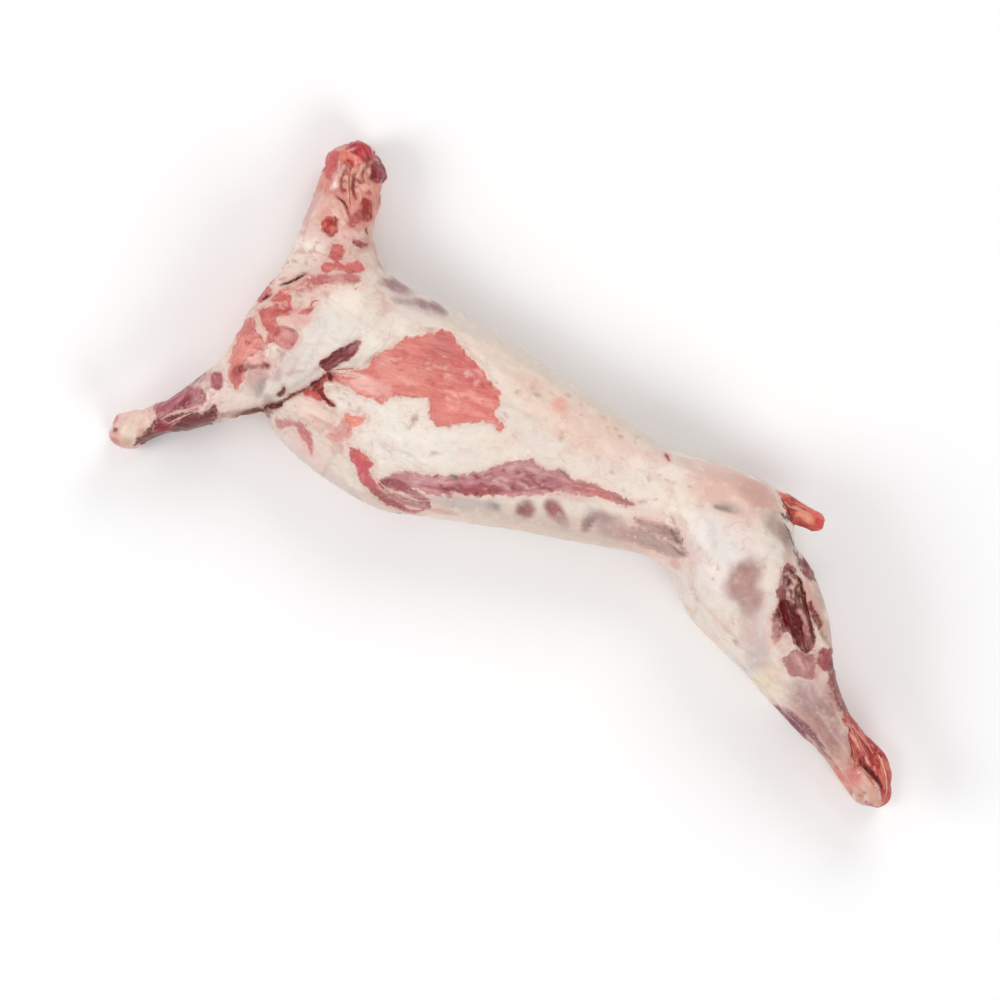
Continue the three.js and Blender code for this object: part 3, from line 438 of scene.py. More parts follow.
# Soft tints inside the flesh: colour, x, y, half length, half width, turn in degrees, strength.
FLESH_TINTS = (
    ("D06765", -205, 66, 42, 18, -14, 0.9), ("C76D67", -238, 62, 18, 32, 10, 0.8),
    ("CE716B", -226, 78, 20, 9, -25, 0.6), ("EA9488", -165, 36, 36, 7, 12, 0.7),
    ("E58D82", -185, 12, 34, 14, 12, 0.7), ("D66F68", -186, 50, 30, 8, 10, 0.6),
    ("E39184", -248, 16, 30, 22, 24, 0.8), ("EFA79C", -262, 4, 24, 10, 20, 0.6),
    ("E69A8D", -286, 18, 18, 36, 30, 0.8), ("D8796E", -254, 0, 26, 9, 24, 0.8),
    ("D87870", -290, 42, 12, 18, 35, 0.6), ("EDB6AD", -300, -20, 36, 13, 12, 0.95),
    ("E8A49A", -276, -12, 14, 9, 0, 0.6), ("D98A82", -272, -24, 5, 6, 0, 0.8),
    ("E09088", -196, -10, 22, 10, 10, 0.7), ("D98079", -214, 12, 20, 9, 0, 0.5),
    ("B4574C", -168, 56, 5, 4, 0, 0.9), ("C05F57", -160, 60, 5, 3, -20, 0.6),
    ("E9938A", -132, 20, 10, 4, 0, 0.6), ("CB8C92", -156, -88, 36, 12, 20, 0.9),
    ("C07E84", -120, -62, 26, 10, 32, 0.7), ("A14F52", -100, -62, 30, 8, 33, 0.9),
    ("A8505A", -132, -80, 22, 6, 28, 0.9), ("C98C8D", -118, -44, 16, 8, 42, 0.8),
    ("C48488", -94, -24, 18, 9, 40, 0.7), ("9E5E62", -62, -34, 20, 9, 33, 0.8),
    ("C09090", -60, -6, 26, 7, 8, 0.8), ("A5686C", -30, -8, 22, 6, 18, 0.6),
    ("B2615C", 8, 5, 26, 6, 12, 0.7), ("C9786E", 32, 10, 22, 6, 12, 0.9),
    ("A4706B", 66, 17, 16, 5, 10, 0.8), ("A06A6C", -66, -16, 12, 5, 20, 0.6),
    ("C95F66", -255, -108, 20, 12, -40, 0.7), ("A25E60", -205, -135, 40, 5, -2, 0.9),
    ("DC6C68", -258, -101, 12, 5, 0, 0.8), ("C0938F", -168, -109, 20, 4, 8, 0.6),
    ("90484F", -214, -117, 12, 5, 30, 0.7), ("BE8E8C", -176, -127, 22, 4, 6, 0.6),
    ("A96B70", -335, 16, 5, 12, -28, 0.8), ("7A2E36", -356, -20, 6, 9, -28, 0.7),
    ("6E3A38", -350, 0, 4, 16, -30, 0.5), ("4A100E", -357, -51, 5, 7, 30, 0.9),
    ("9A2422", -349, -51, 5, 6, 0, 0.7), ("6A1C18", -343, -33, 3, 3, 0, 0.9),
    ("6A1C18", -349, -29, 3, 3, 0, 0.8), ("E07F76", -420, 114, 6, 4, 30, 0.8),
    ("E0716C", -386, 106, 8, 5, 20, 0.8), ("B04844", -389, 98, 4, 3, 20, 0.8),
    ("C3655F", -414, 92, 7, 4, 30, 0.6), ("C2524E", -436, 14, 8, 4, 40, 0.8),
    ("BC524E", -444, 6, 4, 9, -40, 0.8), ("D98278", -436, 4, 6, 6, 0, 0.6),
    ("C65C58", -432, -18, 5, 8, 0, 0.8), ("B0605E", -406, -21, 3, 5, 0, 0.7),
    ("A87370", -416, -7, 12, 2.6, 0, 0.8), ("DDA29C", -420, -14, 9, 5, 0, 0.7),
    ("D97F77", -452, -10, 10, 7, 0, 0.4), ("BA5A56", -462, -8, 4, 5, 0, 0.6),
    ("E8978C", -456, -52, 9, 12, 70, 0.8), ("D98A7E", -462, -74, 6, 14, 18, 0.7),
    ("9A3634", -451, -89, 8, 13, 10, 1.0), ("B85650", -447, -100, 6, 9, 30, 0.8),
    ("EDB3AB", -438, -62, 7, 6, 30, 0.9), ("D9A0A0", -434, -50, 6, 8, 40, 0.7),
    ("C06A64", -446, -72, 4, 6, 0, 0.6), ("7E3A3C", -422, -62, 5, 3, 30, 0.8),
    ("DD9A8C", -424, 20, 7, 4, 10, 0.8), ("B85E58", -409, 28, 4, 6, 20, 0.6),
    ("9E4446", -480, 42, 3, 6, 0, 0.7), ("E2A59B", -440, 44, 8, 6, 40, 0.8),
    ("B8635F", -432, 58, 8, 5, 50, 0.8), ("C66D68", -419, 68, 8, 5, 40, 0.7),
    ("DDA29A", -400, 80, 10, 6, 30, 0.6), ("C4303C", -458, 244, 8, 6, 0, 0.8),
    ("7A2A22", -446, 236, 5, 4, -30, 0.9), ("9E2A30", -464, 236, 6, 4, 30, 0.6),
    ("E88A6E", -475, 222, 6, 5, 40, 0.9), ("F08A80", -464, 229, 8, 4, 10, 0.6),
    ("DC7078", -476, 203, 4, 8, -20, 0.8), ("F0BCB4", -468, 204, 5, 16, -16, 0.9),
    # FFE8E0: painted highlight on the neck's fold.
    ("FFE8E0", -465, 190, 5, 13, -16, 1.0), ("E8B09E", -455, 208, 4, 14, 0, 0.8),
    ("EFC3AA", -446, 190, 4, 14, 30, 0.8), ("F2B7A4", -426, 204, 12, 5, 20, 0.7),
    ("CD8270", -414, 204, 9, 12, 0, 0.6), ("D98F7E", -436, 190, 6, 10, 30, 0.5),
    ("B5665A", -442, 228, 5, 8, 20, 0.7), ("E39C8C", -446, 216, 4, 8, 0, 0.7),
    ("701A26", -430, 237, 5, 5, 0, 0.9), ("6E2C2A", -430, 222, 6, 5, 0, 0.7),
    ("9E484A", -424, 230, 4, 6, 0, 0.5), ("94302A", -411, 177, 5, 8, 20, 0.8),
    ("B4504C", -420, 168, 4, 5, 0, 0.7), ("9A3A32", -445, 140, 5, 5, 0, 0.9),
    ("8E4036", -441, 148, 4, 4, 0, 0.8), ("DC8A78", -438, 133, 5, 6, 20, 0.7),
    ("CC5650", -450, 133, 3, 7, 0, 0.6), ("8A4A50", -465, -117, 5, 4, 30, 0.8),
    ("C97A84", -470, -110, 4, 4, 0, 0.5), ("84303A", -492, -157, 8, 14, -28, 0.95),
    ("B8787E", -484, -138, 8, 6, 30, 0.8), ("A06866", -479, -149, 5, 8, -40, 0.7),
    ("C87C84", -500, -156, 3, 12, -20, 0.8), ("B4707A", -506, -172, 4, 12, -14, 0.7),
    ("8C3440", -500, -198, 14, 8, 40, 0.9), ("6A3634", -478, -182, 16, 7, 42, 0.8),
    ("724238", -511, -216, 10, 7, 50, 0.8), ("5E302E", -456, -152, 6, 9, -30, 0.7),
    ("7A4040", -470, -168, 14, 9, 42, 0.8), ("7E6660", 142, 11, 14, 4, -24, 0.8),
    ("6A544E", 151, 8, 8, 3, -30, 0.7), ("BFA29E", 112, 6, 14, 5, 6, 0.6),
    # F79A80 and FFAE8E: painted highlight along the top of the tail.
    ("7E6660", 158, -4, 10, 3, -4, 0.8), ("F79A80", 276, 119, 22, 6, 0, 0.9),
    ("FFAE8E", 282, 117, 12, 5, 0, 0.8), ("A8322C", 255, 120, 12, 11, 0, 0.85),
    ("D84A40", 306, 112, 8, 5, 0, 0.6), ("D23E44", 298, 121, 9, 6, 0, 0.9),
    ("B83A38", 308, 121, 5, 7, 0, 0.7), ("E88070", 262, 126, 12, 4, 0, 0.6),
    ("6E1E16", 256, 107, 10, 6, -20, 0.95), ("C25A52", 284, 106, 14, 5, 0, 0.7),
    ("B58F8C", 294, 36, 5, 12, -12, 0.9), ("9E5E68", 297, 25, 4, 6, 0, 0.8),
    ("E0B0A6", 307, 38, 4, 4, 0, 0.9), ("C79590", 305, 22, 4, 6, 20, 0.8),
    ("7A4036", 314, 29, 3, 10, 0, 0.9), ("5E1A1A", 322, 20, 4, 5, 0, 0.95),
    ("D9B9AE", 314, 14, 5, 3, 20, 0.9), ("DCAC9F", 331, 8, 6, 3, -20, 0.8),
    ("A86A64", 351, -11, 12, 2.5, -44, 0.7), ("C08C84", 342, 2, 6, 4, -40, 0.7),
    ("9A7068", 322, 34, 3, 5, 30, 0.6), ("6A2024", 328, -8, 12, 7, -20, 0.9),
    ("7A3438", 360, -26, 8, 6, 0, 0.8), ("7C3C3C", 350, -22, 8, 4, -40, 0.6),
    ("8E4A4A", 320, -22, 6, 5, 0, 0.7), ("A86A6A", 364, -40, 10, 4, 0, 0.8),
    ("A67870", 352, -59, 8, 4, -10, 0.8), ("C48C86", 376, -50, 8, 8, -50, 0.8),
    ("D0A49C", 360, -48, 7, 6, 0, 0.4), ("B26264", 388, -30, 5, 5, 0, 0.8),
    ("6A1E28", 403, -29, 5, 6, -40, 0.9), ("7A4A40", 304, 62, 5, 4, 0, 0.8),
    ("A5524A", 321, 56, 5, 5, 0, 0.6), ("7A4642", 446, -70, 10, 4, -44, 0.8),
    ("A0706A", 436, -62, 8, 3, -44, 0.5), ("9A4046", 462, -81, 8, 4, -30, 0.8),
    ("B84A44", 480, -90, 16, 4, -20, 0.8), ("D4736A", 496, -108, 10, 5, -40, 0.8),
    ("D9806F", 488, -104, 12, 3, -42, 0.7), ("C85850", 506, -102, 16, 4, -30, 0.7),
    ("C43C42", 522, -99, 10, 4, -12, 0.9), ("6E2028", 530, -97, 6, 3, -40, 0.8),
    ("CC7A64", 532, -110, 7, 9, -60, 0.9), ("D9645A", 518, -110, 8, 4, -50, 0.8),
    ("DE7468", 530, -122, 10, 4, -50, 0.8), ("B8584E", 540, -124, 5, 10, 30, 0.7),
    ("B4403A", 544, -136, 12, 4, -50, 0.7), ("CB6F66", 554, -148, 10, 5, -64, 0.8),
    ("D88A7C", 506, -136, 9, 6, 0, 0.8), ("C06A60", 486, -112, 8, 4, -50, 0.6),
    ("B85A50", 516, -130, 12, 3, -14, 0.6),
)

# Soft strokes inside the flesh.
FLESH_STROKES = (
    Stroke("A87070", 1.6, 0, ((-182, -98), (-160, -92), (-140, -84), (-120, -72)), 1.6),
    Stroke("D9A6A6", 1.4, 0, ((-176, -90), (-150, -80), (-130, -66)), 1.8),
    Stroke("CFA0A0", 1.6, 0, ((-96, -28), (-80, -14), (-62, -6), (-40, -4)), 1.6),
    Stroke("8E4A50", 1.6, 0, ((-70, -12), (-50, -20), (-28, -18)), 1.6),
    Stroke("D8A39E", 1.4, 0, ((-24, 4), (-6, 2), (14, 8), (34, 12)), 1.4),
    Stroke("F3AA9E", 2.2, 0, ((-214, 22), (-190, 30), (-166, 36), (-144, 40)), 3),
    Stroke("F0A094", 1.8, 0, ((-200, 8), (-180, 14), (-158, 20), (-140, 24)), 2.6),
    Stroke("C4605C", 2.0, 0, ((-232, 44), (-210, 52), (-186, 56), (-166, 58)), 3),
    Stroke("EDAEA4", 2.0, 0, ((-300, 6), (-284, 26), (-266, 40)), 3),
    Stroke("A06A5A", 2.0, 0, ((-338, -22), (-328, -14), (-318, -8), (-308, -2)), 1.2),
    Stroke("CE6E68", 2.2, 0, ((-340, -31), (-326, -25), (-313, -19)), 1.2),
    Stroke("D98A82", 1.8, 0, ((-340, -37), (-326, -32), (-308, -28)), 1.4),
    Stroke("F3CFC3", 1.6, 0, ((-342, -26), (-330, -19), (-316, -14), (-300, -12)), 1.2),
    Stroke("B04E4A", 1.4, 0, ((-434, 13), (-440, 6), (-447, -3)), 1.2),
    Stroke("B2524E", 1.4, 0, ((-446, -86), (-443, -94), (-440, -101)), 1.0),
    Stroke("7A3436", 1.6, 0, ((-501, -188), (-492, -180), (-484, -172)), 1.2),
    Stroke("F0B0A6", 1.4, 0, ((-476, 232), (-470, 236), (-466, 241)), 1.6),
    Stroke("D68476", 1.8, 0, ((-436, 226), (-434, 218), (-430, 212)), 1.6),
    Stroke("E3A598", 1.8, 0, ((352, -40), (362, -48), (376, -54)), 2.0),
    Stroke("9E6A66", 1.4, 0, ((382, -38), (388, -48), (392, -58)), 1.6),
    Stroke("5E181A", 2.0, 0, ((322, -6), (334, -10), (342, -16), (350, -24)), 2.4),
    Stroke("E0857A", 1.5, 0, ((456, -82), (470, -88), (488, -94), (506, -98)), 1.4),
)

# Cuts and slits, and a few lines of painted shade: colour, half width, how far they stand out (or in), line,
# softness.
CUTS_AND_SHADE_LINES = (
    Stroke("7A241E", 1.6, -2.2, ((-347, -28), (-351, -37), (-355, -47), (-361, -58)), 1.2),
    Stroke("8E4A42", 1.8, -2, ((-360, -57), (-366, -67), (-373, -78), (-380, -89), (-386, -98)), 1.6),
    # 68201F and 7A4E46: partly the cleft's own dark red, partly painted shade where the foreleg lies over the
    #                    chest.
    Stroke("68201F", 4.2, -2, ((-381, -95), (-386, -101), (-393, -106), (-399, -110)), 1.6),
    Stroke("7A4E46", 2.2, -2, ((-394, -112), (-404, -118), (-414, -128), (-424, -138)), 2.0),
    Stroke("8E2622", 1.6, -1.0, ((-350, -56), (-342, -59), (-334, -62), (-326, -63), (-318, -64)), 1.2),
    Stroke("5E1C18", 2.6, -2, ((-346, -30), (-343, -34), (-341, -38)), 1.0),
    Stroke("8A5A50", 1.4, -1, ((-349, -22), (-345, -18), (-341, -14)), 1.2),
    Stroke("5A3020", 1.7, -2.6, ((-459, 36), (-452, 43), (-446, 51), (-441, 59), (-436, 66)), 1.0),
    Stroke("5E2C24", 2.0, -2.6, ((-470, 8), (-468, 13), (-465, 19)), 1.0),
    Stroke("7E4A46", 3.4, -1.6, ((-390, -75), (-387, -82), (-390, -90)), 1.6),
    Stroke("843C32", 1.9, -2.6, ((-457, 174), (-450, 173), (-441, 170), (-434, 165)), 1.0),
    Stroke("A85850", 1.4, -2.2, ((-436, 166), (-430, 160), (-424, 156)), 1.2),
    Stroke("AE5C52", 1.6, -2.2, ((-465, 217), (-464, 206), (-462, 196), (-457, 188), (-450, 182)), 1.6),
    Stroke("994A40", 1.7, -2.6, ((-451, 214), (-449, 205), (-445, 197), (-439, 189), (-431, 183)), 1.2),
    Stroke("9A5248", 1.5, -2.2, ((-442, 222), (-440, 214), (-434, 209)), 1.4),
    Stroke("A5564C", 1.8, -1.6, ((-446, 206), (-440, 206), (-436, 203)), 1.4),
    Stroke("A4574C", 1.4, -2.0, ((-446, 236), (-443, 230), (-441, 224)), 1.2),
    Stroke("B06A5E", 1.3, -1.6, ((-474, 214), (-470, 204), (-466, 194)), 1.4),
    Stroke("7C5A4C", 2.6, -1.6, ((-406, 208), (-403, 199), (-405, 190)), 1.8),
    Stroke("7A5A48", 1.6, -1.4, ((-402, 158), (-400, 154), (-397, 151)), 1.2),
    Stroke("6A2E26", 2.6, -3.4, (
        (300, 47), (312, 42), (319, 35), (328, 23), (337, 14), (348, 4), (358, -5), (368, -19)), 1.1),
    Stroke("7A4036", 1.6, -2.0, ((314, 40), (314, 30), (318, 20)), 1.3),
    Stroke("6E3430", 1.6, -2.0, ((290, 46), (296, 47), (303, 44)), 1.3),
    Stroke("6E5248", 1.7, -1.0, ((258, 94), (267, 88), (274, 82), (286, 75), (298, 66), (304, 58)), 1.6),
    Stroke("8A1F1B", 1.7, -3.0, ((464, -87), (473, -93), (484, -97), (498, -103), (512, -113)), 1.1),
    Stroke("A03834", 1.3, -2.0, ((470, -100), (478, -108), (486, -117), (492, -124), (497, -134)), 1.2),
    Stroke("661B10", 1.9, -3.0, ((498, -120), (508, -124), (518, -126), (530, -130), (544, -139)), 1.1),
    Stroke("A8443A", 1.3, -1.6, ((514, -104), (522, -112), (526, -120)), 1.4),
    Stroke("6E5048", 2.0, -3.6, ((527, -172), (526, -165), (524, -159)), 1.2),
    Stroke("7E463C", 1.8, -2.2, ((248, 105), (256, 102), (266, 103)), 1.3),
    Stroke("B4404A", 1.9, -0.9, ((80, 97), (84, 94), (90, 90)), 1.2),
    Stroke("9E6258", 3.4, -1.8, ((-556, -231), (-553, -233), (-550, -234)), 1.6),
    # 8A7268 and 9A7A70: painted shadow under the fat's edge along the rib band's upper side.
    Stroke("8A7268", 1.2, -0.8, ((-147, -66), (-140, -65), (-134, -68)), 1.2),
    Stroke("9A7A70", 1.1, -0.7, ((-28, 10), (-20, 11), (-14, 8)), 1.4),
)

# Pale threads and folds of sinew and fat on the flesh, some lightened by painted highlights.
THREADS = (
    Stroke("E6A8A4", 1.7, 1.2, (
        (-471, -146), (-478, -157), (-487, -166), (-496, -173), (-503, -181), (-507, -190)), 1.2),
    Stroke("D08A88", 1.3, 0.9, ((-478, -165), (-486, -175), (-492, -183), (-498, -192)), 1.3),
    Stroke("E2A19A", 1.4, 0.9, ((-509, -203), (-512, -206), (-508, -209)), 1.4),
    Stroke("EBC4B8", 1.3, 1.0, ((-346, -24), (-334, -17), (-320, -8), (-308, 0)), 1.4),
    Stroke("F0C6BA", 1.2, 1.0, ((-338, -28), (-324, -21), (-308, -16)), 1.4),
    Stroke("F0CBC0", 1.2, 0.8, ((-336, -40), (-322, -36), (-304, -34)), 1.6),
    # FFCEC4: a pale sinew fold, made paler still by a painted highlight.
    Stroke("FFCEC4", 2.2, 1.8, ((-477, 216), (-472, 207), (-467, 197), (-463, 189), (-458, 183)), 1.8),
    Stroke("EBBBA4", 2.0, 2.2, (
        (-458, 220), (-457, 211), (-454, 204), (-449, 194), (-444, 184), (-436, 175)), 1.5),
    Stroke("E6A594", 1.7, 1.8, ((-450, 228), (-447, 221), (-445, 213)), 1.6),
    Stroke("DFA090", 1.7, 1.8, ((-440, 217), (-436, 212), (-428, 209)), 1.6),
    Stroke("E9AC98", 2.4, 1.8, ((-438, 201), (-430, 205), (-420, 204)), 2.0),
    Stroke("F4C3B0", 2.8, 2.0, ((-452, 170), (-444, 164), (-436, 158), (-428, 153)), 1.8),
    Stroke("E7AC9C", 1.8, 1.4, ((-434, 196), (-428, 190), (-424, 182)), 1.8),
    Stroke("F3C6B8", 1.6, 1.2, ((-424, 144), (-416, 134), (-409, 124), (-405, 112), (-398, 106)), 1.8),
    Stroke("F7CDBE", 1.8, 1.2, ((-455, 158), (-448, 152), (-438, 150)), 1.8),
    Stroke("F3B9AC", 1.5, 1.2, ((-461, 10), (-453, 15), (-445, 18), (-438, 19)), 1.2),
    Stroke("F4CFC0", 2.0, 1.2, ((-467, -10), (-462, -16), (-455, -22), (-448, -27)), 1.6),
    Stroke("F2D6C6", 1.8, 1.0, ((-436, -2), (-431, -4), (-420, -2), (-404, -2)), 1.6),
    Stroke("E8C9C0", 1.3, 0.8, ((-434, -36), (-428, -44), (-420, -54)), 1.6),
    Stroke("E6BBAF", 1.6, 1.6, ((296, 40), (304, 38), (308, 34)), 1.5),
    Stroke("DDB5AA", 1.6, 1.6, ((309, 16), (316, 13), (321, 14)), 1.5),
    Stroke("C9A19C", 1.4, 1.2, ((294, 34), (299, 24), (305, 20)), 1.6),
    Stroke("D3A19A", 1.4, 1.2, ((306, -2), (312, -8), (314, -14)), 1.6),
    Stroke("C98F8A", 1.3, 1.0, ((340, -27), (350, -33), (356, -36)), 1.5),
    Stroke("F3A390", 1.4, 1.6, ((460, -90), (468, -95), (477, -101), (488, -108)), 1.2),
    Stroke("EE9A88", 1.4, 1.6, ((470, -91), (488, -100), (500, -107), (508, -112)), 1.6),
    # E9AC98: a sinew strand, made paler in its middle by a painted highlight.
    Stroke("E9AC98", 2.6, 1.6, ((501, -111), (507, -116), (515, -120)), 1.3),
    Stroke("FF9E8C", 1.6, 1.6, ((517, -118), (522, -122), (527, -126)), 1.2),
    Stroke("E07F6E", 1.5, 1.4, ((514, -102), (524, -110), (534, -120), (546, -134)), 1.6),
    Stroke("E29080", 1.3, 1.2, ((500, -128), (512, -132), (526, -137), (540, -144)), 1.8),
    Stroke("EAC2B8", 1.1, 0.8, (
        (-240, -106), (-232, -115), (-216, -122), (-190, -120), (-166, -115), (-150, -108)), 1.3),
    Stroke("E7C0B6", 1.0, 0.7, ((-222, -126), (-204, -126), (-184, -124), (-164, -118)), 1.3),
    Stroke("F0A28E", 1.3, 1.0, ((246, 122), (256, 118), (270, 124), (288, 122)), 1.8),
)

# Steps in the relief, high on the left of the line: height, how far it dies away, line.
STEPS = (
    (4.5, 18, ((214, -50), (198, -38), (182, -22), (166, -2), (148, 18), (124, 34))),
    (5.0, 13, ((-350, -26), (-356, -48), (-362, -62), (-376, -86), (-392, -108), (-410, -126))),
    (3.0, 10, ((404, -32), (388, -18), (372, -4), (356, 10), (338, 26), (322, 42), (304, 62))),
    (1.8, 8, ((-470, 66), (-450, 74), (-428, 82), (-404, 94), (-380, 106))),
    (2.0, 7, ((-404, -2), (-404, -30), (-410, -60), (-414, -92))),
    (1.6, 7, ((-300, -100), (-330, -97), (-364, -92))),
    (2.6, 9, ((236, 98), (244, 106), (242, 122), (236, 130))),
)

# Swells and dents: x, y, half length, half width, turn, height.
SWELLS = (
    (-414, 232, 11, 12, 0, 4.5), (-436, 250, 6, 9, 20, -5.5), (-402, 208, 8, 8, 0, -3.5),
    (-458, 254, 12, 9, 0, 2.5), (-486, 222, 10, 9, 0, 2.5), (-484, 202, 8, 9, 0, -2.5),
    (-396, 190, 9, 10, 0, 2.5), (-478, 240, 6, 6, 0, -2.5), (300, 66, 8, 7, 0, -4.5),
    (320, 62, 12, 9, -40, 3.5), (286, 80, 10, 7, -40, -2.0), (-566, -234, 6, 5, 0, -3.0),
    (-556, -246, 9, 7, 0, 1.5), (-562, -214, 7, 7, 0, 1.5), (-534, -188, 12, 6, 45, -2.0),
    (526, -168, 5, 8, 0, -5.0), (-490, -68, 12, 8, 60, -3.0), (-474, 74, 9, 8, 30, 2.5),
    (-462, 92, 9, 8, 30, -2.0), (250, 132, 9, 6, 0, 1.5), (318, 134, 9, 6, 0, -3.5),
    (318, 106, 9, 7, 0, -3.5), (470, -146, 16, 6, -30, -2.5), (-78, -74, 13, 9, 60, -1.6),
    (-40, -56, 12, 12, 60, -2.0), (-6, -40, 18, 11, -30, -2.2), (60, -22, 34, 14, 5, -2.0),
    (-60, -64, 7, 16, 20, 1.4), (-22, -50, 7, 16, 20, 1.4), (26, -34, 8, 18, 25, 1.4),
    (-100, -84, 9, 14, 20, 1.0), (-415, 176, 9, 12, 0, -2.6), (-443, 137, 9, 12, 10, -2.2),
    (-458, 243, 12, 9, 0, 2.0), (-428, 231, 10, 10, 0, 2.5), (-466, 220, 7, 5, 0, -2.4),
    (-490, -52, 8, 7, 0, 2.6), (-480, 46, 6, 9, 0, 2.2), (-418, -18, 13, 11, 0, 1.6),
    (-425, -80, 12, 20, 10, -1.2), (328, -2, 34, 13, -42, -3.0), (366, -52, 18, 12, -25, 1.6),
    (-447, 2, 14, 10, 30, 1.4), (392, -30, 10, 9, 0, -1.6), (258, 8, 18, 36, -8, -1.6),
    (508, -116, 9, 5, -40, 1.8), (-545, -218, 14, 12, 0, 1.4), (-562, -226, 5, 6, 0, -1.6),
    (-384, -84, 8, 16, 25, 1.0), (140, 8, 20, 6, -15, -1.6), (182, 73, 15, 5, 18, -1.0),
    (315, 58, 14, 6, -40, -1.4), (430, -100, 40, 8, -24, 1.5), (415, -78, 30, 6, -30, -1.2),
    (-488, -150, 22, 9, 58, 1.6), (-482, -186, 30, 8, 42, 1.6), (-200, 40, 70, 30, 15, -0.8),
    (-345, 60, 40, 26, 20, 1.4), (180, 96, 46, 22, 0, 1.2), (-458, -60, 12, 26, 12, 1.4),
    (488, -128, 26, 8, -32, 1.2), (-530, -204, 16, 10, 45, -0.9), (334, 32, 26, 5, -50, 2.0),
)

# Random flecks: colour, x, y, half length, half width and turn of the oval they lie in, how many, size,
# seed.
FLECKS = (
    ("E6BCB0", 308, 30, 24, 11, -52, 46, 2.4, 201), ("5E1E20", 312, 22, 26, 12, -52, 30, 2.6, 202),
    ("D9A89C", 342, 4, 26, 4, -45, 16, 1.8, 203), ("6A1C22", 334, -12, 26, 9, -42, 16, 3.4, 204),
    ("EFB7A8", 500, -112, 44, 20, -38, 28, 2.2, 206), ("8E2A28", 506, -108, 42, 16, -38, 40, 2.6, 207),
    ("F2C4B6", -450, 208, 22, 20, 0, 24, 2.4, 208), ("A8463E", -446, 206, 30, 24, 0, 24, 2.4, 209),
    ("F0BEB2", -440, 30, 30, 40, 20, 34, 2.6, 210), ("B4504A", -452, -10, 20, 60, 15, 40, 2.4, 211),
    ("F0B4A6", -190, 40, 70, 36, 15, 22, 2.8, 212), ("C4625A", -210, 50, 80, 34, 17, 44, 2.6, 213),
    ("D8AAAC", -110, -50, 90, 20, 30, 50, 2.8, 214), ("8E2A20", 264, 118, 20, 14, 0, 16, 2.4, 232),
    ("8E4048", -90, -46, 90, 18, 30, 44, 2.4, 215), ("C08E90", -488, -166, 40, 14, 48, 12, 2.0, 216),
)
FAT_FLECKS = (
    ("B09A8E", -20, 70, 170, 40, -3, 12, 1.2, 221), ("D3A59A", -20, 60, 200, 44, 0, 40, 2.0, 222),
    ("D3A398", -440, 120, 40, 60, 0, 40, 2.4, 223), ("C08A80", -450, 0, 34, 90, 10, 46, 2.4, 224),
    ("D2A79C", -320, -80, 60, 40, 0, 34, 2.2, 225), ("CDB4AB", 230, -10, 70, 60, 0, 20, 2.0, 226),
    ("B98A84", 430, -95, 60, 20, -24, 30, 2.6, 227), ("FBF1E6", -200, -40, 160, 60, 15, 40, 3.6, 228),
    ("BFA096", -490, -150, 60, 24, 45, 34, 2.4, 230), ("A8766C", 130, -4, 40, 14, 10, 30, 2.2, 231),
)

# Crumpled flesh and membrane: height, fold size, stretch along the folds, turn in degrees, seed, outline.
CRUMPLES = (
    (2.2, 9, 2.8, -58, 11, ((-500, 150), (-500, 262), (-395, 262), (-390, 150))),
    (1.2, 11, 2.0, -20, 12, ((-500, 85), (-500, 160), (-385, 160), (-365, 85))),
    (2.4, 6.5, 1.8, -45, 13, ((282, 55), (312, 50), (372, -10), (378, -44), (330, -42), (292, 0))),
    (1.8, 8, 3.6, -38, 14, ((448, -66), (540, -84), (575, -160), (540, -180), (490, -140))),
    (1.6, 8, 1.8, 0, 15, ((232, 92), (232, 140), (318, 140), (318, 92))),
    (1.2, 10, 2.0, 55, 16, ((-500, 60), (-400, 46), (-398, -36), (-432, -110), (-500, -60))),
    (1.0, 7, 4.5, 48, 17, ((-520, -100), (-455, -120), (-440, -150), (-530, -250), (-560, -200))),
    (0.7, 10, 3.5, 17, 18, ((-345, -40), (-300, 30), (-240, 96), (-120, 60), (-130, 10), (-200, -30))),
    (0.8, 8, 3.0, 28, 19, ((-210, -110), (-60, 14), (90, 30), (60, 0), (-110, -90))),
    (1.0, 9, 3.0, -30, 20, ((360, -60), (450, -66), (480, -140), (360, -116))),
    (0.9, 20, 3.5, 12, 21, (
        (-420, 120), (240, 120), (300, 60), (260, -70), (60, -60), (-200, -150), (-380, -130))),
)

# The neck's cut end: colour and radius of each ring, from the outermost in, and where its middle lies across
# the neck and where the end begins.
NECK_END = (("E3B5A6", 17), ("F0D6C6", 14), ("D0908A", 9), ("EBCFC0", 6.5), ("6A1C24", 4.5))
NECK_MIDDLE, NECK_FROM = -455, 236

# Flesh that fills the armpit's upper end: start, end, radius.
FILLS = (
    ((-322, 32, 158), (-352, -22, 155), 16),
    ((-342, -20, 164), (-354, -46, 158), 12),
    ((-352, -36, 154), (-374, -84, 148), 13),
)


# ---------------------------------------------------------------- measuring and noise

# What the wet gloss adds to every colour, the least light that a colour keeps, and the side of the noise's
# table.
HAZE, DARKEST, NOISE_SIZE = 0.013, 0.002, 32


def linear(code):
    """The linear colour of a six-letter sRGB code, less the haze that the wet gloss lays over it."""
    parts = np.array([int(code[k:k + 2], 16) / 255 for k in (0, 2, 4)])
    light = np.where(parts <= 0.04045, parts / 12.92, ((parts + 0.055) / 1.055) ** 2.4)
    return np.maximum(light - HAZE, DARKEST)


def eased(value, low, high):
    """0 below low, 1 above high, and a smooth rise between them."""
    share = np.clip((value - low) / (high - low), 0, 1)
    return share * share * (3 - 2 * share)


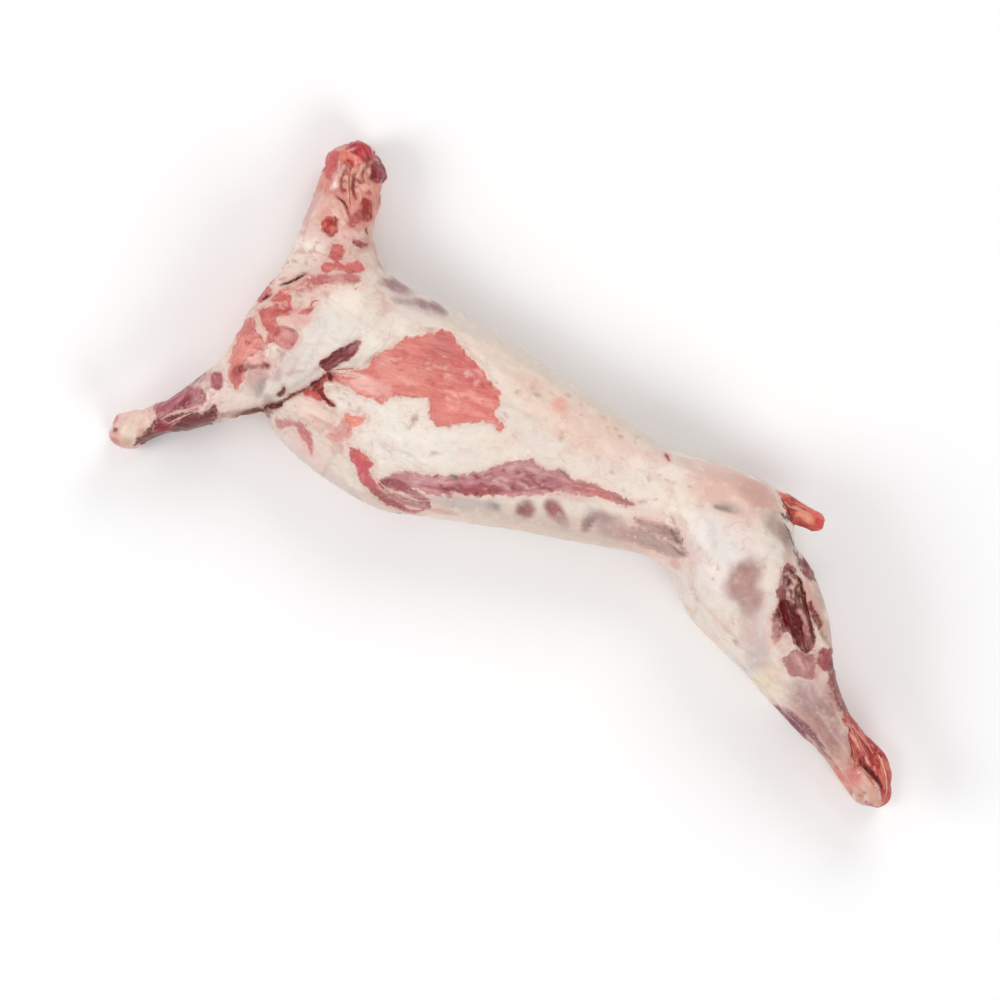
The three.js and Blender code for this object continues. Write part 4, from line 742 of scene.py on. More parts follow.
def rounded(corners, closed):
    """The line with its corners cut once, so that it bends softly."""
    line = np.asarray(corners, float)
    ahead = np.roll(line, -1, 0) if closed else line[1:]
    here = line if closed else line[:-1]
    cut = np.stack([here * 0.75 + ahead * 0.25, here * 0.25 + ahead * 0.75], 1).reshape(-1, 2)
    return cut if closed else np.concatenate([line[:1], cut[1:-1], line[-1:]])


def measured(flat, line, closed=False):
    """How far flat points lie from a line, how far along it (0 to 1), and whether left of it, or inside it
    if closed."""
    starts = line if closed else line[:-1]
    steps = (np.roll(line, -1, 0) if closed else line[1:]) - starts
    lengths = np.linalg.norm(steps, axis=1)
    passed = np.concatenate([[0], np.cumsum(lengths)])
    best = np.full(len(flat), 1e9)
    along = np.zeros(len(flat))
    left = np.zeros(len(flat), bool)
    for start, step, length, before in zip(starts, steps, lengths, passed):
        away = flat - start
        share = np.clip(away @ step / length ** 2, 0, 1)
        gap = np.hypot(away[:, 0] - share * step[0], away[:, 1] - share * step[1])
        nearer = gap < best
        best[nearer] = gap[nearer]
        along[nearer] = ((before + share * length) / passed[-1])[nearer]
        if closed:
            crosses = (away[:, 1] < 0) != (away[:, 1] < step[1])
            slope = step[0] / step[1] if step[1] else 0.0
            left ^= crosses & (away[:, 0] < slope * away[:, 1])
        else:
            leftwards = step[0] * away[:, 1] - step[1] * away[:, 0] > 0
            left[nearer] = leftwards[nearer]
    return best, along, left


def near(flat, line, reach):
    """Which points lie within reach of the line's box."""
    low = line.min(0) - reach
    high = line.max(0) + reach
    return np.flatnonzero(((flat > low) & (flat < high)).all(1))


def turned(flat, degrees):
    """The points' coordinates along and across a direction."""
    angle = math.radians(degrees)
    along = flat[:, 0] * math.cos(angle) + flat[:, 1] * math.sin(angle)
    across = flat[:, 1] * math.cos(angle) - flat[:, 0] * math.sin(angle)
    return along, across


def in_oval(flat, x, y, length, width, degrees):
    """Distance from an oval's centre, 1 on the oval itself."""
    along, across = turned(flat - (x, y), degrees)
    return np.hypot(along / length, across / width)


def lumps(points, cell, seed):
    """Seeded smooth noise from -1 to 1, with lumps about as big as the cell."""
    table = np.random.default_rng(seed).uniform(-1, 1, (NOISE_SIZE, NOISE_SIZE, NOISE_SIZE))
    scaled = points / cell
    low = np.floor(scaled).astype(int)
    part = scaled - low
    part = part * part * (3 - 2 * part)
    total = np.zeros(len(points))
    for corner in np.ndindex(2, 2, 2):
        weight = np.prod(np.where(corner, part, 1 - part), axis=1)
        total += weight * table[tuple(((low + corner) % NOISE_SIZE).T)]
    return total


def rough_lumps(points, cell, seed):
    """Noise with three sizes of lump."""
    return (lumps(points, cell, seed) + lumps(points, cell / 2.1, seed + 1) * 0.5
            + lumps(points, cell / 4.3, seed + 2) * 0.25)


# ---------------------------------------------------------------- the skin's shape

# Cells that the grid keeps on each side of the surface, and how wide the fills blend into it (millimetres).
GRID_BAND, FILLET = 10, 14.0

# Where the far side begins and is reached, above the middle plane, and how far noise shifts the tables
# there, on steep sides and elsewhere.
FAR_FROM, FAR_TO = 14, -26
FAR_SHIFT, STEEP_SHIFT, SIDE_SHIFT, FINE_SHIFT = 17, 5, 1.0, 0.7

# How deep a patch of flesh is cut off where its thickness ends, over what height, and how far outside its
# outline the relief and the colours still read it.
PATCH_CUT, PATCH_FADE, PATCH_RELIEF_REACH, PATCH_COLOUR_REACH = 30, 7, 12, 26

# The raised rim along patches that are deep and sharp enough: how far outside the edge it runs, how wide and
# high it is, and the least depth and the softest edge that have one.
RIM_AWAY, RIM_WIDTH, RIM_HEIGHT, RIM_DEPTH, RIM_SOFTEST = 3.5, 2.5, 0.5, 0.9, 1.5

# The shares of a step's height on either side of its line, and the share of its length over which it starts
# and ends.
STEP_HIGH, STEP_LOW, STEP_ENDS = 0.45, -0.55, 0.15

# How strong the crumples are, how far inside their outline they are full, and how far noise bends the folds.
CRUMPLE_SHARE, CRUMPLE_EDGE, CRUMPLE_BEND = 0.6, 9, 5

# Heights between which the relief starts, so that the carcass lies flat.
LYING_FLAT, LYING_FREE = 0.5, 9


def middle_height(flat):
    """How high the plane between the two sides runs at each point."""
    total = np.zeros(len(flat))
    weights = np.zeros(len(flat))
    for x, y, height in MIDDLES:
        weight = 1 / (((flat - (x, y)) ** 2).sum(1) + 100) ** 2
        total += weight * height
        weights += weight
    return total / weights


def blurred(block, spread):
    """The block of distances, blurred by spread cells."""
    reach = int(3 * spread)
    kernel = np.exp(-0.5 * (np.arange(-reach, reach + 1) / spread) ** 2)
    kernel = (kernel / kernel.sum()).astype(np.float32)
    for axis in range(3):
        edges = [(reach, reach) if a == axis else (0, 0) for a in range(3)]
        padded = np.pad(block, edges, mode="edge")
        size = block.shape[axis]
        block = np.zeros_like(block)
        for k, weight in enumerate(kernel):
            window = [slice(None)] * 3
            window[axis] = slice(k, k + size)
            block += weight * padded[tuple(window)]
    return block


def filled(block, low, cell, start, end, radius):
    """The block of distances with a round-ended bar joined to it."""
    first = np.maximum(np.floor((np.minimum(start, end) - radius * 2) / cell).astype(int) - low, 0)
    last = np.ceil((np.maximum(start, end) + radius * 2) / cell).astype(int) - low
    window = tuple(slice(a, b) for a, b in zip(first, last))
    part = block[window]
    spots = (np.indices(part.shape).reshape(3, -1).T + first + low) * cell
    step = end - start
    share = np.clip((spots - start) @ step / (step @ step), 0, 1)
    gap = np.linalg.norm(spots - start - share[:, None] * step, axis=1).reshape(part.shape) - radius
    blend = np.clip(FILLET - np.abs(part - gap), 0, None)
    block[window] = np.minimum(part, gap) - blend ** 2 / (4 * FILLET)
    return block


def smooth_skin(cell, spread):
    """Points in millimetres and four-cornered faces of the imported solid, with its facets smoothed away."""
    solid = bmesh.new()
    solid.from_mesh(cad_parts["carcass"].data)
    bmesh.ops.remove_doubles(solid, verts=solid.verts, dist=1e-6)
    points = np.array([vert.co for vert in solid.verts], np.float32) / MM
    faces = np.array([[vert.index for vert in face.verts] for face in solid.faces], np.uint32)
    solid.free()
    spacing = openvdb.createLinearTransform(voxelSize=cell)
    grid = openvdb.FloatGrid.createLevelSetFromPolygons(
        points, triangles=faces, transform=spacing, halfWidth=GRID_BAND)
    low, high = grid.evalActiveVoxelBoundingBox()
    block = np.zeros([b - a + 1 for a, b in zip(low, high)], np.float32)
    grid.copyToArray(block, ijk=low)
    soft = blurred(block, spread / cell)
    block = soft + (soft - blurred(soft, spread / cell))
    for start, end, radius in FILLS:
        block = filled(block, np.array(low), cell, np.array(start, float), np.array(end, float), radius)
    smooth = openvdb.FloatGrid(GRID_BAND * cell)
    smooth.copyFromArray(block, ijk=low)
    smooth.transform = spacing
    points, faces = smooth.convertToQuads(isovalue=0)
    return np.asarray(points, float), np.asarray(faces, int)


def normals_of(points, faces):
    """Each point's outward direction."""
    across = np.cross(points[faces[:, 2]] - points[faces[:, 0]], points[faces[:, 3]] - points[faces[:, 1]])
    total = np.zeros_like(points)
    for k in range(4):
        for axis in range(3):
            total[:, axis] += np.bincount(faces[:, k], across[:, axis], len(points))
    return total / np.maximum(np.linalg.norm(total, axis=1, keepdims=True), 1e-9)


def drifted(points, normals):
    """Where each point reads the tables: its place from above, shifted a little by noise, so that the far
    side and the steep sides don't repeat the near one."""
    height = points[:, 2] - middle_height(points[:, :2])
    far = FAR_SHIFT * (1 - eased(height, FAR_TO, FAR_FROM))
    side = SIDE_SHIFT + STEEP_SHIFT * (1 - np.abs(normals[:, 2])) ** 2
    shift = np.stack([rough_lumps(points, 70, seed) for seed in (31, 41)], 1) * far[:, None]
    shift += np.stack([lumps(points, 13, seed) for seed in (51, 61)], 1) * side[:, None]
    shift += np.stack([lumps(points, 5, seed) for seed in (71, 81)], 1) * FINE_SHIFT
    return points[:, :2] + shift


def patch_distance(points, flat, patch, reach):
    """The points near a patch of flesh, and how far inside its outline they lie."""
    line = rounded(patch.outline, True)
    chosen = near(flat, line, reach)
    gap, _, inside = measured(flat[chosen], line, True)
    inside = np.where(inside, gap, -gap)
    height = np.abs(points[chosen, 2] - middle_height(points[chosen, :2]))
    if patch.thickness > 0:
        inside -= PATCH_CUT * eased(height, patch.thickness, patch.thickness + PATCH_FADE)
    elif patch.thickness < 0:
        inside -= PATCH_CUT * (1 - eased(height, -patch.thickness - PATCH_FADE, -patch.thickness))
    return chosen, inside


def stroke_distance(flat, stroke, margin=0.0):
    """The points near a stroke, how far inside its tapering width they lie, and that width."""
    line = rounded(stroke.line, False)
    chosen = near(flat, line, stroke.width + margin + 1)
    gap, along, _ = measured(flat[chosen], line)
    width = stroke.width * np.sqrt(np.clip(4 * along * (1 - along), 0.02, 1))
    return chosen, width - gap, width


def relief(points, flat, strength):
    """How far each point moves outwards: muscles, ribs, folds, cuts and crumpled flesh."""
    rise = rough_lumps(points, 34, 5) * 0.7 + lumps(points, 11, 8) * 0.25
    for patch in FLESH.values():
        chosen, inside = patch_distance(points, flat, patch, PATCH_RELIEF_REACH)
        ragged = inside + lumps(points[chosen], 4.5, 91) * patch.rag
        rise[chosen] -= patch.depth * eased(ragged, -0.6 * patch.soft, 1.8 * patch.soft)
        rim = (patch.depth > RIM_DEPTH) * (patch.soft < RIM_SOFTEST) * RIM_HEIGHT
        rise[chosen] += rim * np.exp(-((ragged + RIM_AWAY) / RIM_WIDTH) ** 2)
    for x, y, length, width, degrees, height in SWELLS:
        rise += height * (1 - eased(in_oval(flat, x, y, length, width, degrees), 0.2, 1.4))
    for height, reach, corners in STEPS:
        line = rounded(corners, False)
        chosen = near(flat, line, reach * 3)
        gap, along, left = measured(flat[chosen], line)
        ends = eased(along, 0, STEP_ENDS) * (1 - eased(along, 1 - STEP_ENDS, 1))
        rise[chosen] += np.where(left, STEP_HIGH, STEP_LOW) * height * np.exp(-gap / reach) * ends
    for stroke in CUTS_AND_SHADE_LINES + THREADS:
        chosen, inside, width = stroke_distance(flat, stroke, 2)
        rise[chosen] += stroke.rise * eased(inside, -1.2, np.maximum(width, 1) * 0.8)
    for height, size, stretch, degrees, seed, corners in CRUMPLES:
        line = rounded(corners, True)
        chosen = near(flat, line, 2)
        gap, _, inside = measured(flat[chosen], line, True)
        along, across = turned(flat[chosen], degrees)
        folded = np.stack([along / stretch, across, points[chosen, 2]], 1)
        folded[:, 1] += lumps(points[chosen], 26, seed + 50) * CRUMPLE_BEND
        folds = 1 - 2.2 * np.abs(lumps(folded, size, seed)) + 0.5 * lumps(folded, size / 2.2, seed + 1)
        rise[chosen] += height * folds * eased(np.where(inside, gap, -gap), 0, CRUMPLE_EDGE) * CRUMPLE_SHARE
    return rise * strength


def carved(points, faces, strength):
    """The points with the relief on them, flat where the carcass lies and inside the solid's own box."""
    normals = normals_of(points, faces)
    flat = drifted(points, normals)
    lifted = eased(points[:, 2], LYING_FLAT, LYING_FREE)
    moved = points + normals * (relief(points, flat, strength) * lifted)[:, None]
    return np.clip(moved, CAD_LOW / MM, CAD_HIGH / MM)


def plain_mesh(name, points, faces):
    """A new mesh from points in millimetres."""
    mesh = bpy.data.meshes.new(name)
    mesh.vertices.add(len(points))
    mesh.vertices.foreach_set("co", (points * MM).astype(np.float32).ravel())
    mesh.loops.add(faces.size)
    mesh.loops.foreach_set("vertex_index", faces.astype(np.int32).ravel())
    mesh.polygons.add(len(faces))
    mesh.polygons.foreach_set("loop_start", np.arange(0, faces.size, faces.shape[1], dtype=np.int32))
    mesh.update(calc_edges=True)
    mesh.validate()
    return mesh


def keep_inside(mesh):
    """Moves what stands out of the solid's box back to its sides."""
    inside = np.clip(vectors(mesh.vertices, "co"), CAD_LOW, CAD_HIGH)
    mesh.vertices.foreach_set("co", inside.astype(np.float32).ravel())


def in_scene(name, mesh):
    """A new object for the mesh, at the origin."""
    thing = bpy.data.objects.new(name, mesh)
    bpy.context.scene.collection.objects.link(thing)
    return thing


def evaluated_copy(thing, name):
    """The object's mesh with its modifiers worked in."""
    graph = bpy.context.evaluated_depsgraph_get()
    graph.update()
    mesh = bpy.data.meshes.new_from_object(thing.evaluated_get(graph))
    mesh.name = name
    return mesh


def vectors(source, what):
    """A vector of each vertex as an array."""
    values = np.zeros(len(source) * 3, np.float32)
    source.foreach_get(what, values)
    return values.reshape(-1, 3).astype(float)


# ---------------------------------------------------------------- the skin's colours

# How strong strokes and flecks are, how much brighter the flesh is than its codes, and the edge from which a
# patch is far enough away to take its colour and grain from the nearest.
STROKE_SHARE, FLECK_SHARE, FLESH_LIFT, FAR_EDGE = 0.85, 0.75, 1.08, -3

# The flesh where no patch is near: its colour, grain and raggedness, and how far outside any patch that is.
PLAIN_FLESH, PLAIN_GRAIN, PLAIN_RAG, OUTSIDE = "C77870", 8.0, 2.0, -30.0


def over(base, chosen, tint, share):
    """Lays a tint over some of the points' colours."""
    base[chosen] += (tint - base[chosen]) * share[:, None]


def lay_strokes(colours, flat, strokes, wobble):
    """Lays soft strokes over the points' colours."""
    for stroke in strokes:
        chosen, inside, width = stroke_distance(flat, stroke, stroke.soft * 2)
        share = eased(inside + wobble[chosen], -stroke.soft, stroke.soft)
        over(colours, chosen, linear(stroke.tint), STROKE_SHARE * share)


def lay_flecks(colours, flat, flecks):
    """Lays random flecks over the points' colours."""
    for code, x, y, length, width, degrees, count, size, seed in flecks:
        chance = np.random.default_rng(seed)
        away = np.sqrt(chance.random(count))
        angle = chance.random(count) * math.tau
        lean = math.radians(degrees)
        across = away * np.sin(angle) * width
        ahead = away * np.cos(angle) * length
        turns = degrees + chance.normal(0, 30, count)
        halves = size * (0.5 + chance.random(count))
        for k in range(count):
            middle_x = x + ahead[k] * math.cos(lean) - across[k] * math.sin(lean)
            middle_y = y + ahead[k] * math.sin(lean) + across[k] * math.cos(lean)
            chosen = near(flat, np.array([(middle_x, middle_y)]), halves[k] * 2.4)
            apart = in_oval(flat[chosen], middle_x, middle_y, halves[k] * 1.7, halves[k] * 0.7, turns[k])
            over(colours, chosen, linear(code), FLECK_SHARE * (1 - eased(apart, 0.4, 1.4)))


def fat_colours(points, flat, fat):
    """The fat's colour at each point."""
    colours = np.tile(fat, (len(points), 1))
    wobble = lumps(points, 14, 101) * 0.16 + lumps(points, 6, 102) * 0.08
    everyone = np.arange(len(points))
    for code, x, y, length, width, degrees, strength in FAT_TINTS:
        chosen = everyone[near(flat, np.array([(x, y)], float), max(length, width) * 1.5)]
        away = in_oval(flat[chosen], x, y, length, width, degrees) + wobble[chosen]
        over(colours, chosen, linear(code), strength * (1 - eased(away, 0.45, 1.3)))
    lay_strokes(colours, flat, FAT_STROKES, wobble * 6)
    lay_flecks(colours, flat, FAT_FLECKS)
    return colours


def flesh_layers(points, normals, flat):
    """How far inside bare flesh each point lies, measured in its edge's softness, how ragged that edge is,
    its colour and its grain."""
    edge = np.full(len(points), OUTSIDE)
    rag = np.full(len(points), PLAIN_RAG)
    colours = np.tile(linear(PLAIN_FLESH), (len(points), 1))
    grain = np.full(len(points), PLAIN_GRAIN)
    wobble = lumps(points, 8, 103) * 0.15
    for patch in FLESH.values():
        chosen, inside = patch_distance(points, flat, patch, PATCH_COLOUR_REACH)
        inside = (inside + 0.8) / patch.soft
        mixed = inside + lumps(points[chosen], 5, 104) * 0.8
        bare = edge[chosen] < FAR_EDGE
        over(colours, chosen, linear(patch.tint), np.maximum(eased(mixed, -1.2, 1.2), bare * 1.0))
        grain[chosen] = np.where((inside > 0) | bare, patch.grain, grain[chosen])
        rag[chosen] = np.where(inside > edge[chosen], patch.rag / patch.soft, rag[chosen])
        edge[chosen] = np.maximum(edge[chosen], inside)
    for code, x, y, length, width, degrees, strength in FLESH_TINTS:
        chosen = near(flat, np.array([(x, y)], float), max(length, width) * 1.5)
        away = in_oval(flat[chosen], x, y, length, width, degrees) + wobble[chosen]
        over(colours, chosen, linear(code), strength * (1 - eased(away, 0.5, 1.25)))
    lay_strokes(colours, flat, FLESH_STROKES, wobble * 6)
    lay_flecks(colours, flat, FLECKS)
    away = np.hypot(points[:, 0] - NECK_MIDDLE, points[:, 2] - middle_height(points[:, :2])) + wobble * 12
    facing = eased(normals[:, 1], 0.6, 0.85) * (points[:, 1] > NECK_FROM)
    for code, radius in NECK_END:
        over(colours, np.arange(len(points)), linear(code), facing * (1 - eased(away, radius - 1.5, radius)))
    return edge, rag, np.clip(colours * FLESH_LIFT, 0, 1), grain


def stroke_layer(flat, strokes, tint):
    """How far inside any of the strokes each point lies, in its softness, and the nearest one's colour."""
    edge = np.full(len(flat), -10.0)
    colours = np.tile(linear(tint), (len(flat), 1))
    for stroke in strokes:
        chosen, inside, _ = stroke_distance(flat, stroke, 9)
        inside /= stroke.soft
        nearer = inside > edge[chosen]
        colours[chosen[nearer]] = linear(stroke.tint)
        edge[chosen] = np.maximum(edge[chosen], inside)
    return edge, colours


def store(mesh, name, values):
    """Keeps values on the mesh's points: numbers, or colours of three parts."""
    if values.ndim == 1:
        kept = mesh.attributes.new(name, "FLOAT", "POINT")
        kept.data.foreach_set("value", values.astype(np.float32))
    else:
        kept = mesh.attributes.new(name, "FLOAT_VECTOR", "POINT")
        kept.data.foreach_set("vector", values.astype(np.float32).ravel())


def paint(mesh, fat):
    """Works out the skin's colours and keeps them on the mesh."""
    points = vectors(mesh.vertices, "co") / MM
    normals = vectors(mesh.vertex_normals, "vector")
    flat = drifted(points, normals)
    store(mesh, "fat_tint", fat_colours(points, flat, fat))
    edge, rag, tint, grain = flesh_layers(points, normals, flat)
    store(mesh, "flesh_edge", edge)
    store(mesh, "flesh_rag", rag)
    store(mesh, "flesh_tint", tint)
    angle = np.radians(grain)
    along = points[:, 0] * np.cos(angle) + points[:, 1] * np.sin(angle)
    across = points[:, 1] * np.cos(angle) - points[:, 0] * np.sin(angle)
    store(mesh, "grain", np.stack([along * 0.16, across, points[:, 2] * 0.8 + grain * 3], 1))
    for name, strokes, code in (("cut_and_shade", CUTS_AND_SHADE_LINES, "6A2A26"), ("thread", THREADS, "EFC3B4")):
        edge, tint = stroke_layer(flat, strokes, code)
        store(mesh, name + "_edge", edge)
        store(mesh, name + "_tint", tint)


# ---------------------------------------------------------------- shader arithmetic

class Wire:
    """A shader socket that takes part in arithmetic: each operator adds a Math node."""

    def __init__(self, bench, socket):
        self.bench = bench
        self.socket = socket

    def __add__(self, other):
        return self.bench.math("ADD", self, other)

    def __radd__(self, other):
        return self.bench.math("ADD", other, self)

    def __sub__(self, other):
        return self.bench.math("SUBTRACT", self, other)

    def __rsub__(self, other):
        return self.bench.math("SUBTRACT", other, self)

    def __mul__(self, other):
        return self.bench.math("MULTIPLY", self, other)

    def __rmul__(self, other):
        return self.bench.math("MULTIPLY", other, self)


class Bench:
    """A node tree under construction: a material's, whose patterns are in millimetres, or a growth's."""

    def __init__(self, tree):
        self.tree = tree
        self.tree.nodes.clear()

    def node(self, kind, settings=None, inputs=None, output=0):
        """Adds a node with its settings and its inputs' values or links, and gives one of its outputs."""
        made = self.tree.nodes.new(kind)
        for name, value in (settings or {}).items():
            setattr(made, name, value)
        for name, value in (inputs or {}).items():
            if isinstance(value, Wire):
                self.tree.links.new(value.socket, made.inputs[name])
            elif value is not None:
                made.inputs[name].default_value = value
        return Wire(self, made.outputs[output])

    def math(self, operation, first, second):
        return self.node("ShaderNodeMath", {"operation": operation}, {0: first, 1: second})

    def ease(self, value, low, high, start=0.0, end=1.0):
        """A smooth rise from start to end as the value goes from low to high."""
        return self.node(
            "ShaderNodeMapRange", {"interpolation_type": "SMOOTHSTEP"},
            {"Value": value, "From Min": low, "From Max": high, "To Min": start, "To Max": end})

    def noise(self, place, cell, detail=2.0, rough=0.5):
        """Noise from 0 to 1 with lumps of about the cell's size."""
        return self.node(
            "ShaderNodeTexNoise", {"noise_dimensions": "3D"},
            {"Vector": place, "Scale": 1 / cell, "Detail": detail, "Roughness": rough})

    def scaled(self, vector, scale):
        """A vector times a number."""
        return self.node("ShaderNodeVectorMath", {"operation": "SCALE"}, {0: vector, "Scale": scale})

    def chance(self, low, high, seed, more=None):
        """A random number for each thing."""
        limits = {2: low, 3: high, "Seed": seed}
        return self.node("FunctionNodeRandomValue", {"data_type": "FLOAT"}, {**limits, **(more or {})}, 1)

    def blend(self, share, first, second):
        """One colour laid over another."""
        return self.node("ShaderNodeMix", {"data_type": "RGBA"}, {0: share, 6: first, 7: second}, 2)

    def kept(self, name, output="Fac"):
        """What the mesh keeps under that name."""
        return self.node("ShaderNodeAttribute", {"attribute_name": name}, None, output)

    def place(self):
        """Object coordinates in millimetres."""
        return self.scaled(self.node("ShaderNodeTexCoord", None, None, "Object"), 1 / MM)

    def bump(self, height, strength):
        """Normals bumped by a height in millimetres."""
        return self.node(
            "ShaderNodeBump", None, {"Strength": strength, "Distance": MM, "Height": height}, "Normal")

    def finish(self, settings):
        """Ends a material with a Principled surface."""
        surface = self.node("ShaderNodeBsdfPrincipled", None, settings)
        output = self.tree.nodes.new("ShaderNodeOutputMaterial")
        self.tree.links.new(surface.socket, output.inputs["Surface"])


# What all wet materials share, and how far red, green and blue light go through the meat.
WET = {"Specular IOR Level": 0.3, "Coat Roughness": 0.16}
LIGHT_REACH, LIGHT_SCALE = (1.0, 0.42, 0.26), 0.004


def new_material(name):
    """A material with an empty tree, and the bench to fill it."""
    material = bpy.data.materials.new(name)
    material.use_nodes = True
    return material, Bench(material.node_tree)


def code_colour(code):
    """The linear colour of a code, for a colour socket."""
    return (*linear(code), 1.0)


def veined(bench, base, veins):
    """A colour with tints over it: where a pattern starts, where it is full, strength and tint of each."""
    for pattern, low, high, share, tint in veins:
        base = bench.blend(bench.ease(pattern, low, high) * share, base, tint)
    return base


def meat_material(colours):
    """Fat, bare flesh, cuts and sinew threads, wet all over."""
    material, bench = new_material("raw_lamb")
    place = bench.place()
    grain = bench.kept("grain", "Vector")
    fine = bench.noise(place, 3.2, 3.0, 0.6)
    medium = bench.noise(place, 11.0, 3.0, 0.55)
    broad = bench.noise(place, 34.0, 2.0, 0.5)
    fibre = bench.noise(grain, 1.7, 3.0, 0.62)
    bundle = bench.noise(grain, 5.2, 2.0, 0.5)

    edge = bench.kept("flesh_edge")
    torn = (fine - 0.5) * 0.9 + (medium - 0.5) * 7.5 + (fibre - 0.5) * 1.2
    ragged = edge + torn * bench.kept("flesh_rag")
    patchy = bench.noise(place, 5.0, 3.0, 0.6)
    veil = bench.ease(patchy, 0.48, 0.70) * bench.ease(edge, 7.0, 0.0) * 0.5
    flesh = bench.ease(ragged, -1.5, 1.5) * (1 - veil)
    fringe = bench.ease(ragged, -9.0, 0.5)
    cut_and_shade = bench.ease(bench.kept("cut_and_shade_edge") + (fine - 0.5) * 3.0, -0.9, 0.9)
    cut_shade_halo = bench.ease(bench.kept("cut_and_shade_edge") + (fine - 0.5) * 4.0, -5.0, 0.5)
    thread = bench.ease(bench.kept("thread_edge") + (fine + medium - 1.0) * 2.2, -0.8, 0.9)
    line = bench.noise(place, 15.0, 2.0, 0.5) - 0.5
    crease = bench.ease(bench.math("ABSOLUTE", line, 0.0), 0.022, 0.0) * bench.ease(broad, 0.46, 0.62)

    fat = veined(bench, bench.kept("fat_tint", "Vector"), (
        (broad, 0.42, 0.70, 0.24, code_colour("ECC4B6")), (medium, 0.52, 0.74, 0.22, code_colour("FDF6EA")),
        (medium, 0.50, 0.28, 0.18, code_colour("C9AC9F")), (bundle, 0.58, 0.76, 0.20, code_colour("DDA99C")),
        (patchy, 0.56, 0.76, 0.22, code_colour("E2B2A6")), (fine, 0.66, 0.76, 0.30, code_colour("CF8F82"))))
    # Painted shade: the fat darkens along the crease lines, which the bump below also sinks.
    fat = bench.blend(crease * 0.22, fat, code_colour("C39A8C"))
    fat = bench.blend(fringe * bench.ease(patchy, 0.20, 0.80) * 0.62, fat, code_colour("E3A496"))

    raw = bench.kept("flesh_tint", "Vector")
    dark = bench.blend(0.36, raw, code_colour("6E2224"))
    pale = bench.blend(0.34, raw, code_colour("F8CABC"))
    raw = veined(bench, raw, (
        (fibre, 0.54, 0.30, 0.55, dark), (fibre, 0.54, 0.78, 0.45, pale),
        (bundle, 0.54, 0.72, 0.50, pale), (bundle, 0.48, 0.30, 0.30, dark),
        (medium, 0.50, 0.28, 0.30, dark), (patchy, 0.60, 0.78, 0.35, pale)))
    # Painted shade: the flesh darkens in patches just inside its edge, where it lies below the fat's step.
    raw = bench.blend(bench.ease(ragged, 2.6, 0.0) * bench.ease(medium, 0.42, 0.60) * 0.40, raw, dark)

    # The cuts' colours, with the lines of painted shade among them.
    cut = bench.kept("cut_and_shade_tint", "Vector")
    colour = bench.blend(flesh, fat, raw)
    # Painted shade: a soft dark halo of the cuts' colour around each cut.
    colour = bench.blend(cut_shade_halo * 0.30, colour, cut)
    colour = bench.blend(cut_and_shade, colour, cut)
    colour = bench.blend(thread * 0.85, colour, bench.kept("thread_tint", "Vector"))

    height = (fibre - 0.5) * 0.9 * flesh + (bundle - 0.5) * 0.5 + (medium - 0.5) * 0.45 + (fine - 0.5) * 0.3
    height = height - flesh * 0.6 - cut_and_shade * 0.8 + thread * 0.5 - crease * 0.35
    bench.finish({
        **WET, "Base Color": colour, "Roughness": bench.ease(medium, 0.3, 0.7, 0.30, 0.46) + flesh * 0.03,
        "Normal": bench.bump(height, 0.8), "Subsurface Weight": colours.depth,
        "Subsurface Radius": LIGHT_REACH, "Subsurface Scale": LIGHT_SCALE, "Coat Weight": colours.wetness})
    return material


def loose_material(name, kept, stops):
    """Wet scraps or strands, whose colour runs through the stops with the value kept on each."""
    material, bench = new_material(name)
    place = bench.place()
    fine = bench.noise(place, 2.4, 3.0, 0.6)
    medium = bench.noise(place, 9.0, 2.0, 0.5)
    share = bench.kept(kept) + (medium - 0.5) * 0.8
    colour = code_colour(stops[0])
    for k, code in enumerate(stops[1:]):
        reached = bench.ease(share, k / len(stops), (k + 1.4) / len(stops))
        colour = bench.blend(reached, colour, code_colour(code))
    colour = bench.blend(bench.ease(fine, 0.55, 0.35) * 0.3, colour, code_colour("A4544C"))
    bench.finish({
        **WET, "Base Color": colour, "Roughness": 0.36 + (fine - 0.5) * 0.2,
        "Normal": bench.bump(fine * 0.7, 0.7), "Coat Weight": 0.25})
    return material


def floor_material(tint):
    """A smooth pale studio floor, faintly uneven."""
    material, bench = new_material("studio_floor")
    shade = bench.noise(bench.place(), 400.0, 2.0, 0.5)
    colour = bench.blend(shade * 0.04, (*tint, 1.0), code_colour("ECEBEA"))
    bench.finish({"Base Color": colour, "Roughness": 0.85, "Specular IOR Level": 0.1})
    return material


# ---------------------------------------------------------------- what grows on the skin

# The colours that scraps and strands run through.
SCRAP_TINTS = ("B85650", "DA8E84", "EABFB1", "F0D8CC")
STRAND_TINTS = ("C05A50", "D98474", "E6A494", "EEC2B4")

